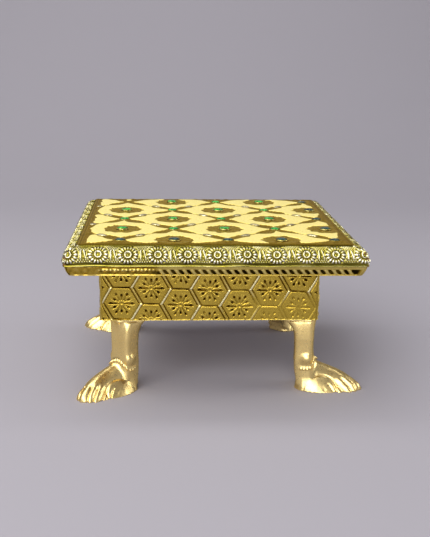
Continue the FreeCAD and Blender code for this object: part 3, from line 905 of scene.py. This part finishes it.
def enamel_depth(x, y):
    """How far a point lies inside the enamel, in mm; negative outside it."""
    lines, small = lattice_lines(x, y)[:2]
    medallion = medallion_distance(x, y)[0] + waves(x, y, *medallion_edge_waves)
    inside = np.minimum(np.minimum(lines, small - stone_ground_radius), medallion)
    left, right, front, back = enamel_margins
    edges = waves(x, y, *margin_waves) + np.minimum.reduce([
        x + half_flat - left, half_flat - right - x, y + half_flat - front, half_flat - back - y])
    # The outline rounds off towards the lattice lines where they run out into the border
    edges = edges - line_rounding * unit(1 - lines / line_reach) ** 2
    return np.minimum(inside + waves(x, y, *outline_waves), edges)


def stamped_height(x, y):
    """Pressed height of the metal sheet, in mm above the top plane, and of the glints alone."""
    medallion, share, angle = medallion_distance(x, y)
    inside = 1 - fade(medallion, *medallion_fade)
    radial = np.sqrt(np.abs(np.cos(medallion_scallops * angle / 2)))
    petals = (petal_rises[0] + petal_rises[1] * radial) * between(share, petal_start_shares, petal_end_shares)
    boss = inside * (petals + ridge(share, *medallion_rim_ridge))
    lines, small, glints = lattice_lines(x, y)
    uneven = waves(x, y, *hatch_waves)
    hatch = hatch_level + hatch_rise * np.sin(x * hatch_paces[0]) * np.sin(y * hatch_paces[1] + uneven)
    hatch = hatch * (1 - (1 - hatch_in_medallion_share) * inside)
    ground = boss + ridge(lines, *vein_ridge) + ridge(small, *ring_ridge) + hatch
    from_edge = half_flat - np.maximum(np.abs(x), np.abs(y))
    open_ground = fade(from_edge, *open_ground_fade)
    border = sum(ridge(from_edge, *line) for line in border_ridges) * (1 + waves(x, y, *border_waves))
    glints = glints * open_ground
    return np.maximum(np.minimum(ground * open_ground + border, stamp_limit), glints), glints


def top_grid(step):
    line = np.linspace(-half_flat, half_flat, int(2 * half_flat / step))
    return np.meshgrid(line, line)


x, y = top_grid(top_step)
stamped, glints = stamped_height(x, y)
# The sheet's colour: painted shade low, painted highlights high and on the glints
ground_light_and_shade = np.clip(stamped * shading_per_height, 0, ground_light_limit)
sheet_light_and_shade = ground_light_and_shade + glint_painted_highlight * fade(glints, *glint_highlight_fade)
points = np.stack([x, y, top_plane + np.clip(stamped, 0, glint_rise)], axis=-1)
add_piece("stamped_top_sheet", (points.reshape(-1, 3), grid_faces(*x.shape), sheet_light_and_shade), sheet_finish,
          "top_sheet")


def enamel_islands():
    """Pillowed enamel over every place inside its outline, cut exactly along it."""
    x, y = top_grid(enamel_step)
    depth = enamel_depth(x, y)
    crown = enamel_rise * np.sqrt(unit(1 - (1 - unit(depth / enamel_shoulder)) ** 2))
    rise = np.minimum(enamel_seat + crown + waves(x, y, *enamel_swell_waves), enamel_rise + enamel_swell)
    points = np.stack([x, y, top_plane + rise], axis=-1).reshape(-1, 3)
    cells = grid_faces(*x.shape)
    level = depth.ravel()
    inside = (level > 0)[cells].sum(axis=1)
    faces = cells[inside == 4].tolist()
    cuts = []
    made = {}

    def crossing(a, b):
        key = (min(a, b), max(a, b))
        if key not in made:
            point = points[a] + (points[b] - points[a]) * level[a] / (level[a] - level[b])
            point[2] = top_plane
            made[key] = len(points) + len(cuts)
            cuts.append(point)
        return made[key]

    for cell in cells[(inside > 0) & (inside < 4)].tolist():
        loop = []
        for a, b in zip(cell, cell[1:] + cell[:1]):
            if level[a] > 0:
                loop.append(a)
            if (level[a] > 0) != (level[b] > 0):
                loop.append(crossing(a, b))
        faces.append(loop)
    points = np.vstack([points, np.array(cuts)])
    used = np.unique(np.concatenate([np.array(f) for f in faces]))
    number = np.full(len(points), -1)
    number[used] = np.arange(len(used))
    return points[used], [number[f].tolist() for f in faces], (points[used, 2] - top_plane) / enamel_rise


add_piece("cream_enamel_fields", enamel_islands(), enamel_finish, "enamel_fields")


# Stones and collets, set by the node tree at the lattice's points

large_stone_radius = 2.8
small_stone_radius = 2.55
medallion_rise = 0.3
stone_turn_limit = 0.7
bare_stone_sites = [(0, 4)]
# Rings of a cut stone: share of its radius, height, corners and turn in shares of a corner
stone_rings = [(0.55, 0.95, 8, 0.0), (0.82, 0.78, 8, 0.5), (1.0, 0.4, 16, 0.0), (1.0, 0.2, 16, 0.0)]
# Rings of a collet: distance outside the stone and height
collet_rings = [(0.02, 0.0), (0.05, 0.42), (0.2, 0.45), (0.36, 0.18), (0.4, 0.0)]
collet_segments = 32
collet_beads = 18
collet_bead_radius = 0.22
collet_bead_out = 0.5
collet_bead_height = 0.08


def add_ring(shape, radius, height, count, turn=0.0):
    angles = [2 * math.pi * (i + turn) / count for i in range(count)]
    return [shape.verts.new((radius * math.cos(a), radius * math.sin(a), height)) for a in angles]


def join_rings(shape, low, high):
    """Quads between two rings of as many corners."""
    for i in range(len(low)):
        j = (i + 1) % len(low)
        shape.faces.new([low[i], low[j], high[j], high[i]])


def keep_shape(name, shape):
    """A plain object in metres from a shape in millimetres, its faces outward."""
    bmesh.ops.scale(shape, vec=(MM, MM, MM), verts=shape.verts)
    bmesh.ops.recalc_face_normals(shape, faces=shape.faces)
    mesh = bpy.data.meshes.new(name)
    shape.to_mesh(mesh)
    shape.free()
    return new_object(name, mesh)


def stone_shape(name, radius):
    """A round cut stone with a table, star and main facets."""
    shape = bmesh.new()
    table, star, girdle, foot = [
        add_ring(shape, radius * share, height, count, turn) for share, height, count, turn in stone_rings]
    shape.faces.new(table)
    for i in range(len(table)):
        j = (i + 1) % len(table)
        shape.faces.new([table[i], star[i], table[j]])
        shape.faces.new([star[i], girdle[2 * i + 1], girdle[2 * j], star[j], table[j]])
    join_rings(shape, foot, girdle)
    return keep_shape(name, shape)


def collet_shape(name, radius):
    """A thin wall round a stone, with a row of fine beads outside it."""
    shape = bmesh.new()
    loops = [add_ring(shape, radius + out, height, collet_segments) for out, height in collet_rings]
    for low, high in zip(loops, loops[1:]):
        join_rings(shape, low, high)
    for i in range(collet_beads):
        angle = 2 * math.pi * i / collet_beads
        reach = radius + collet_bead_out
        spot = Vector((reach * math.cos(angle), reach * math.sin(angle), collet_bead_height))
        bmesh.ops.create_icosphere(shape, subdivisions=1, radius=collet_bead_radius,
                                   matrix=Matrix.Translation(spot))
    return keep_shape(name, shape)


stone_sites = {"large": [], "small": []}
for column, row in np.ndindex(lattice_count, lattice_count):
    x, y = site_place(column, row)
    # The stones of the front row and the right column take the darker teal copy, a painted shade
    tint = 0.0 if row == 0 or column == lattice_count - 1 else 1.0
    if (column + row) % 2:
        stone_sites["large"].append((x, y, top_plane + medallion_rise, tint))
    elif (column, row) not in bare_stone_sites:
        stone_sites["small"].append((x, y, top_plane, tint))

for name, radius in (("large", large_stone_radius), ("small", small_stone_radius)):
    sites = np.array(stone_sites[name])
    given = (sites[:, :3], np.zeros(len(sites)), sites[:, 3])
    stones = place_copies(name + "_cut_stones", stone_shape(name + "_stone_shape", radius), *given,
                          stone_finish, stone_turn_limit)
    collets = place_copies(name + "_collets", collet_shape(name + "_collet_shape", radius), *given,
                           setting_finish, 0.0)
    finish_piece(stones, stone_finish, [name + "_stones"])
    for polygon in stones.data.polygons:
        polygon.use_smooth = False
    finish_piece(collets, setting_finish, ["stone_settings"] if name == "large" else [])


# Cast legs, as one field of distances for flange, shaft, anklet and foot

left_leg_inset = 12.85
right_leg_inset = 6.65
leg_inset_y = 6.5
flange_turn = math.radians(18.0)
flange_length = 19.5
flange_width = 18.5
flange_thickness = 1.6
flange_front_lip = 0.6
flange_outer_lip = -0.4
flange_roundness = 7.0
flange_edge = 0.5
flange_draft = 0.15
flare_height = 9.0
flare_overlap = 0.5
flare_foot = leg_height - flange_thickness - flare_height
shaft_half_depth = 5.2
shaft_half_width = 6.6
shaft_roundness = 4.5
shaft_waist = 0.2
shaft_root_height = 3.0
# Fields are flattened a little, since they aren't true distances
field_share = 0.9

foot_length = 31.3
foot_height = 17.0
foot_half_width = 8.2
foot_crest_lean = 3.0
# The foot's sections: place along the foot, height, how far the sole reaches to the big toe's side and
# to the little toe's side, and the lean of the crest to the big toe's side, as shares of the foot's sizes
foot_section_shares = np.array([
    (-0.138, 0.20, 0.40, 0.42, 0.0),
    (-0.124, 0.48, 0.56, 0.60, 0.0),
    (-0.106, 0.66, 0.66, 0.70, 0.0),
    (-0.063, 0.82, 0.84, 0.92, 0.0),
    (0.0, 0.93, 0.98, 1.06, 0.1),
    (0.094, 0.95, 1.0, 1.10, 0.4),
    (0.252, 0.79, 0.98, 1.14, 0.8),
    (0.409, 0.67, 0.98, 1.06, 1.0),
    (0.566, 0.565, 1.0, 0.93, 0.8),
    (0.66, 0.49, 1.01, 0.91, 0.6),
    (0.755, 0.40, 0.98, 0.87, 0.4),
    (0.849, 0.31, 0.88, 0.74, 0.2),
    (0.912, 0.245, 0.72, 0.54, 0.1),
    (0.962, 0.17, 0.50, 0.30, 0.0),
    (0.99, 0.10, 0.28, 0.10, 0.0),
    (1.003, 0.02, 0.10, 0.0, 0.0),
])
# The size that each column is a share of, and the length over which its kinks are smoothed away
foot_section_sizes = [
    (foot_height, 0.5), (foot_half_width, 0.4), (foot_half_width, 0.4), (foot_crest_lean, 0.8)]
foot_section_roundness = 2.15
sole_flare = 2.3
sole_flare_height = 7.0
sole_flare_height_share = 0.5
# The toes point a little outwards. Grooves part them at these shares of the foot's half width across
# their direction, and start at these shares of its length along it
toe_splay = math.radians(24.0)
toe_edge_shares = np.array([-2.26, -1.71, -1.12, -0.77, -0.37, 0.04])
toe_root_shares = np.array([0.55, 0.56, 0.635, 0.58, 0.50, 0.43])
toe_root_run = 3.0
toe_groove_depth = 1.6
toe_groove_crispness = 0.97
# The back of the heel: heights and how far behind the shaft's middle it lies
heel_heights = [0.0, 2.0, 5.0, 7.0, 9.2, 12.0, 16.0, 20.0]
heel_backs = [4.3, 3.75, 3.45, 3.75, 4.3, 4.75, 5.1, 6.5]
heel_blend = 0.8
instep_blend = 2.2

# The mound on the outer side of the foot, with a crease along its arched upper edge and a slanting groove
mound_reach = 9.6
mound_half_length = 8.4
mound_height = 7.4
mound_proud = 0.9
mound_side_fade = (1.5, 4.5)
mound_crease_shares = (1.05, 0.09)
mound_crease = 0.45
mound_crease_run = 5.0
slant_start = np.array([9.8, 9.0, 5.2])
slant_end = np.array([12.4, 9.4, 1.8])
slant_radius = 0.15
slant_width = 0.6
slant_depth = 0.4

# Ankle bones and anklet
bone_place = (1.6, 5.4, 17.0)
bone_sizes = (2.4, 1.9, 2.2)
bone_blend = 1.8
anklet_front_height = 16.0
anklet_droop = 4.2
anklet_width = 1.7
anklet_half_share = 0.6
anklet_proud = 0.6
anklet_fade = (-3.0, 0.0)
anklet_beads = 26
bead_shares = (0.55, 0.45)
anklet_crease_half_width = 0.7
anklet_crease = 0.1
# Each leg's side along X and along Y, and the turn of its toes
corners = {
    "front_left": (-1, -1, 225.0),
    "front_right": (1, -1, -12.0),
    "back_left": (-1, 1, 165.0),
    "back_right": (1, 1, 45.0),
}
# The field's box: its half width, and how far it goes beyond the leg
leg_reach = 21.0
field_margin = 1.0
toe_margin = 1.5
# Settling: the step that a slope is measured over, the farthest move and the least slope squared
settle_reach = 0.05
settle_limit = 0.25
flattest_slope = 0.2
cast_tone = 0.7


def smooth_union(a, b, blend):
    """The lesser of two distances, blended where they are close."""
    share = unit(0.5 + 0.5 * (b - a) / blend)
    return b * (1 - share) + a * share - blend * share * (1 - share)


def smooth_table(x, places, values, spread, samples=800):
    """Values between listed places, with the kinks smoothed away."""
    dense = np.linspace(places[0] - 4 * spread, places[-1] + 4 * spread, samples)
    kernel = np.exp(-0.5 * ((dense - dense.mean()) / spread) ** 2)
    level = np.pad(np.interp(dense, places, values), samples // 2, mode="edge")
    smoothed = np.convolve(level, kernel / kernel.sum(), mode="same")[samples // 2:-samples // 2]
    return np.interp(x, dense, smoothed)


def rounded_radius(angle, half_x, half_y, roundness, turn=0.0):
    """Reach of a rounded box from its middle, at an angle."""
    across = (np.abs(np.cos(angle - turn)) / half_x) ** roundness
    along = (np.abs(np.sin(angle - turn)) / half_y) ** roundness
    return (across + along) ** (-1 / roundness)


def foot_field(x, y, z):
    """Distance to the foot: toes along +X, little toe on +Y, the floor at Z = 0."""
    places = foot_section_shares[:, 0] * foot_length
    height, inner, outer, lean = (
        smooth_table(x, places, shares * size, spread)
        for shares, (size, spread) in zip(foot_section_shares.T[1:], foot_section_sizes))
    # The sides draw in from the sole, then arch over to a crest on the big toe's side
    flare = np.minimum(sole_flare_height, height * sole_flare_height_share)
    slim = (inner + outer) / 2 - sole_flare * flare / sole_flare_height * unit(z / flare)
    side = y - (outer - inner) / 2 + lean * z / height
    share = (np.abs(side / slim) ** foot_section_roundness
             + (np.abs(z) / height) ** foot_section_roundness) ** (1 / foot_section_roundness)
    body = (share - 1) * np.minimum(slim, height) * field_share
    body = np.maximum(body, np.maximum(places[0] - x, x - places[-1]))
    # Narrow grooves part the toes, whose backs stay round
    toe_across = y * math.cos(toe_splay) - x * math.sin(toe_splay)
    toe_along = x * math.cos(toe_splay) + y * math.sin(toe_splay)
    edges = toe_edge_shares * foot_half_width
    toe = np.interp(toe_across, edges, np.arange(len(edges)))
    groove = 1 - np.sqrt(1 - toe_groove_crispness * (2 * (toe - np.floor(toe)) - 1) ** 2)
    groove = np.where((toe <= 0) | (toe >= len(edges) - 1), 0.0, groove)
    root = np.interp(toe_across, edges, toe_root_shares * foot_length)
    body = body + toe_groove_depth * groove * fade(toe_along, root, root + toe_root_run)
    # The mound swells from the side under an arched crease
    arch = np.hypot((x - mound_reach) / mound_half_length, z / mound_height)
    on_side = fade(y, *mound_side_fade)
    body = body - mound_proud * on_side * np.sqrt(unit(1 - arch ** 2))
    toe_side = fade(x, mound_reach - mound_crease_run, mound_reach)
    body = body + on_side * toe_side * ridge(arch, *mound_crease_shares, mound_crease)
    run = slant_end - slant_start
    way = [value - start for value, start in zip((x, y, z), slant_start)]
    share = unit(sum(w * r for w, r in zip(way, run)) / float(run @ run))
    slant = np.sqrt(sum((w - r * share) ** 2 for w, r in zip(way, run))) - slant_radius
    return body + slant_depth * np.exp(-(np.clip(slant, 0, None) / slant_width) ** 2)


def shaft_field(x, y, z, angle, middle):
    """Distance to the shaft, which flares out to the flange's outline at its own angle and middle."""
    share = unit((z - flare_foot) / (flare_height + flare_overlap))
    spread = 1 - np.sqrt(1 - share ** 2)
    across = x - middle[0] * spread
    along = y - middle[1] * spread
    around = np.arctan2(along, across)
    waist_share = unit((z - anklet_front_height) / (flare_foot - anklet_front_height))
    waist = shaft_waist * np.sin(waist_share * math.pi)
    column = rounded_radius(around, shaft_half_depth, shaft_half_width, shaft_roundness) - waist
    plate = rounded_radius(around, flange_length / 2, flange_width / 2, flange_roundness, angle)
    body = (np.hypot(across, along) - column * (1 - spread) - plate * spread) * field_share
    return np.maximum(body, np.maximum(shaft_root_height - z, z - leg_height + flange_thickness))


def plate_field(x, y, z, angle, middle):
    """Distance to the flange, its edges eased."""
    across = x - middle[0]
    along = y - middle[1]
    reach = rounded_radius(np.arctan2(along, across), flange_length / 2 - flange_draft,
                           flange_width / 2 - flange_draft, flange_roundness, angle)
    side = (np.hypot(across, along) - reach) * field_share + flange_edge
    level = np.abs(z - leg_height + flange_thickness / 2) - flange_thickness / 2 + flange_edge
    outside = np.hypot(np.clip(side, 0, None), np.clip(level, 0, None)) - flange_edge
    return outside + np.minimum(np.maximum(side, level), 0)


def leg_field(x, y, z, angle, middle):
    """Distance to a whole leg: foot, ankle bones, anklet, shaft and flange, cut off at the floor."""
    shaft = shaft_field(x, y, z, angle, middle)
    body = smooth_union(foot_field(x, y, z), shaft, instep_blend)
    for side in (-1, 1):
        bone = np.sqrt(sum(((value - place) / size) ** 2
                           for value, place, size in zip((x, side * y, z), bone_place, bone_sizes)))
        body = smooth_union(body, (bone - 1) * bone_sizes[1], bone_blend)
    above = z - anklet_front_height + anklet_droop * (y / shaft_half_width) ** 2
    bead = bead_shares[0] + bead_shares[1] * np.cos(np.arctan2(y, x) * anklet_beads)
    band = ridge(above, 0.0, anklet_width * anklet_half_share, anklet_proud) * bead
    crease = ridge(above, anklet_width, anklet_crease_half_width, anklet_crease)
    body = body + (crease - band) * fade(x, *anklet_fade)
    heel = -x - np.interp(z, heel_heights, heel_backs)
    body = -smooth_union(-body, -heel, heel_blend)
    # Above the heel's own back line the shaft is whole
    body = np.minimum(body, np.maximum(shaft, heel_heights[-2] - z))
    return np.maximum(np.minimum(body, plate_field(x, y, z, angle, middle)), -z)


def surface_net(values, origin, step):
    """Points and quads of the surface where a field on a grid is zero."""
    inside = values < 0
    shape = np.array(values.shape) - 1

    def cells(offset):
        return tuple(slice(o, o + n) for o, n in zip(offset, shape))

    total = sum(inside[cells(offset)].astype(int) for offset in np.ndindex(2, 2, 2))
    active = (total > 0) & (total < 8)
    index = np.full(active.shape, -1)
    index[active] = np.arange(active.sum())
    position = np.zeros(active.shape + (3,))
    hits = np.zeros(active.shape)
    for axis, start in ((a, s) for a in range(3) for s in np.ndindex(2, 2, 2) if s[a] == 0):
        low = cells(start)
        high = cells(np.array(start) + np.eye(3, dtype=int)[axis])
        crossed = inside[low] != inside[high]
        gap = np.where(crossed, values[low] - values[high], 1.0)
        position += crossed[..., None] * np.array(start, float)
        position[..., axis] += np.where(crossed, values[low] / gap, 0.0)
        hits += crossed
    cell = np.stack(np.meshgrid(*[np.arange(n) for n in shape], indexing="ij"), axis=-1)
    points = (cell + position / np.maximum(hits, 1)[..., None])[active] * step + np.array(origin)
    faces = []
    for axis in range(3):
        along = np.eye(3, dtype=int)[axis]
        low = tuple(slice(s, n) for s, n in zip(1 - along, shape))
        high = tuple(slice(s, n) for s, n in zip([1, 1, 1], shape + along))
        crossed = np.argwhere(inside[low] != inside[high])
        going_in = inside[high][tuple(crossed.T)]
        first, second = (np.eye(3, dtype=int)[a] for a in range(3) if a != axis)
        near = crossed + 1 - along
        quad = np.stack([index[tuple((near - back).T)]
                         for back in (0 * first, first, first + second, second)], axis=1)
        flip = going_in if axis != 1 else ~going_in
        quad[flip] = quad[flip][:, ::-1]
        faces.append(quad)
    return points, np.vstack(faces)


def settle(points, field):
    """Moves points along the field's slope until they lie on its surface."""
    for _ in range(2):
        level = field(*points.T)
        slope = np.stack([field(*(points + settle_reach * way).T) - level for way in np.eye(3)],
                         axis=1) / settle_reach
        step = level / np.clip((slope ** 2).sum(axis=1), flattest_slope, None)
        points = points - slope * np.clip(step, -settle_limit, settle_limit)[:, None]
    return points


def cast_leg(corner):
    """A leg's form about the middle of the apron. Right legs are mirrored, so that their little toe
    lies on +Y in the field too."""
    side_x, side_y, toe_angle = corners[corner]
    inset_x = left_leg_inset if side_x < 0 else right_leg_inset
    place = np.array([side_x * (half_apron - inset_x), side_y * (half_apron - leg_inset_y)])
    turn = side_x * side_y * flange_turn
    inward_x = -side_x * np.array([math.cos(turn), math.sin(turn)])
    inward_y = side_y * np.array([math.sin(turn), -math.cos(turn)])
    middle = (inward_x * (flange_length / 2 - shaft_half_width - flange_outer_lip)
              + inward_y * (flange_width / 2 - shaft_half_depth - flange_front_lip))
    toe_turn = math.radians(toe_angle)
    to_local = np.array([[math.cos(toe_turn), math.sin(toe_turn)], [-math.sin(toe_turn), math.cos(toe_turn)]])
    mirror = np.array([1, -side_x])
    middle = (to_local @ middle) * mirror
    angle = -side_x * (turn - toe_turn)
    low = np.array([-leg_reach, -leg_reach, -field_margin])
    high = (foot_length + toe_margin, leg_reach, leg_height + field_margin)
    x, y, z = np.meshgrid(*[np.arange(a, b, leg_step) for a, b in zip(low, high)], indexing="ij")
    points, faces = surface_net(leg_field(x, y, z, angle, middle), low, leg_step)
    points = settle(points, lambda x, y, z: leg_field(x, y, z, angle, middle))
    points[:, 2] = np.clip(points[:, 2], 0, leg_height)
    world = (points[:, :2] * mirror) @ to_local + place
    return np.column_stack([world, points[:, 2]]), faces[:, ::-side_x], np.full(len(points), cast_tone)


for corner in corners:
    add_piece("cast_foot_leg_" + corner, cast_leg(corner), cast_finish, "leg_" + corner,
              apron_middle_x)


# Carried-over solids keep their shape and get their finish

carried = {"top_board": wood_finish, "base_board": wood_finish,
           "leg_screws": steel_finish, "top_nails": steel_finish}
carried.update({"apron_board_" + side: wood_finish for side in sides})
carried.update({"corner_block_" + corner: wood_finish for corner in corners})
for node_name, material in carried.items():
    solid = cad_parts[node_name]
    solid.data.materials.clear()
    solid.data.materials.append(material)


# Floor and backdrop of one sheet of paper, swept up in an arc behind the stool

paper_half_width = 2600.0
paper_front = -1400.0
sweep_start = 520.0
sweep_radius = 700.0
sweep_steps = 12
paper_top = 3200.0


def studio():
    profile = [(paper_front, 0.0)]
    for step in range(sweep_steps + 1):
        angle = math.pi / 2 * step / sweep_steps
        profile.append((sweep_start + sweep_radius * math.sin(angle), sweep_radius * (1 - math.cos(angle))))
    profile.append((sweep_start + sweep_radius, paper_top))
    points = [(x, y, z) for y, z in profile for x in (-paper_half_width, paper_half_width)]
    faces = [(2 * i, 2 * i + 1, 2 * i + 3, 2 * i + 2) for i in range(len(profile) - 1)]
    mesh = new_mesh("floor_and_backdrop", points, faces)
    for polygon in mesh.polygons:
        polygon.use_smooth = True
    mesh.materials.append(new_material("matt_grey_paper", Base_Color=linear("#9f9ba1"), Roughness=0.85)[0])
    new_object("floor_and_backdrop", mesh)


studio()

# Softboxes: place, what they point at, width, height, power and colour
softboxes = {
    "overhead_softbox": ((-440, -60, 850), (-60, 0, 40), 1000, 1000, 6.4, "#ffffff"),
    "key_softbox": ((-400, -900, 720), (0, 0, 40), 1150, 620, 8.4, "#ffffff"),
    "low_front_softbox": ((0, -1100, 250), (0, 0, 40), 900, 300, 3.0, "#ffffff"),
    "right_softbox": ((800, -20, 330), (0, 0, 30), 420, 340, 1.8, "#fbfdff"),
    "backdrop_softbox": ((0, 400, 1300), (0, 1150, 300), 1600, 500, 6.3, "#ffffff"),
}
for name, (place, target, width, height, power, colour) in softboxes.items():
    light = bpy.data.lights.new(name, "AREA")
    light.shape = "RECTANGLE"
    light.size = width * MM
    light.size_y = height * MM
    light.energy = power
    light.color = linear(colour)[:3]
    lamp = new_object(name, light)
    lamp.location = Vector(place) * MM
    lamp.rotation_euler = (Vector(target) - Vector(place)).to_track_quat("-Z", "Y").to_euler()

world = bpy.data.worlds.new("studio_air")
bpy.context.scene.world = world
world.use_nodes = True
air = world.node_tree.nodes["Background"]
air.inputs["Color"].default_value = linear("#b9b6bf")
air.inputs["Strength"].default_value = 0.5


# Camera fitted to the photograph

camera_yaw = math.radians(3.37)
camera_pitch = math.radians(13.67)
camera_roll = math.radians(-0.81)
camera_place = (-26.94, -512.78, 177.15)
focal_pixels = 918.8
picture_height = 537
sensor_size = 36.0
nearest_seen = 10
farthest_seen = 10000


def aim_camera():
    level = math.cos(camera_pitch)
    forward = Vector((math.sin(camera_yaw) * level, math.cos(camera_yaw) * level, -math.sin(camera_pitch)))
    right = Vector((math.cos(camera_yaw), -math.sin(camera_yaw), 0.0))
    down = forward.cross(right)
    rolled_right = right * math.cos(camera_roll) + down * math.sin(camera_roll)
    rolled_down = -right * math.sin(camera_roll) + down * math.cos(camera_roll)
    turn = Matrix((rolled_right, -rolled_down, -forward)).transposed().to_4x4()
    data = bpy.data.cameras.new("photograph_camera")
    data.sensor_width = sensor_size
    data.lens = focal_pixels / picture_height * sensor_size
    data.clip_start = nearest_seen * MM
    data.clip_end = farthest_seen * MM
    camera = new_object("photograph_camera", data)
    camera.matrix_world = Matrix.Translation(Vector(about(top_middle_x, camera_place)) * MM) @ turn
    bpy.context.scene.camera = camera


aim_camera()
bpy.context.scene.view_settings.view_transform = "Standard"
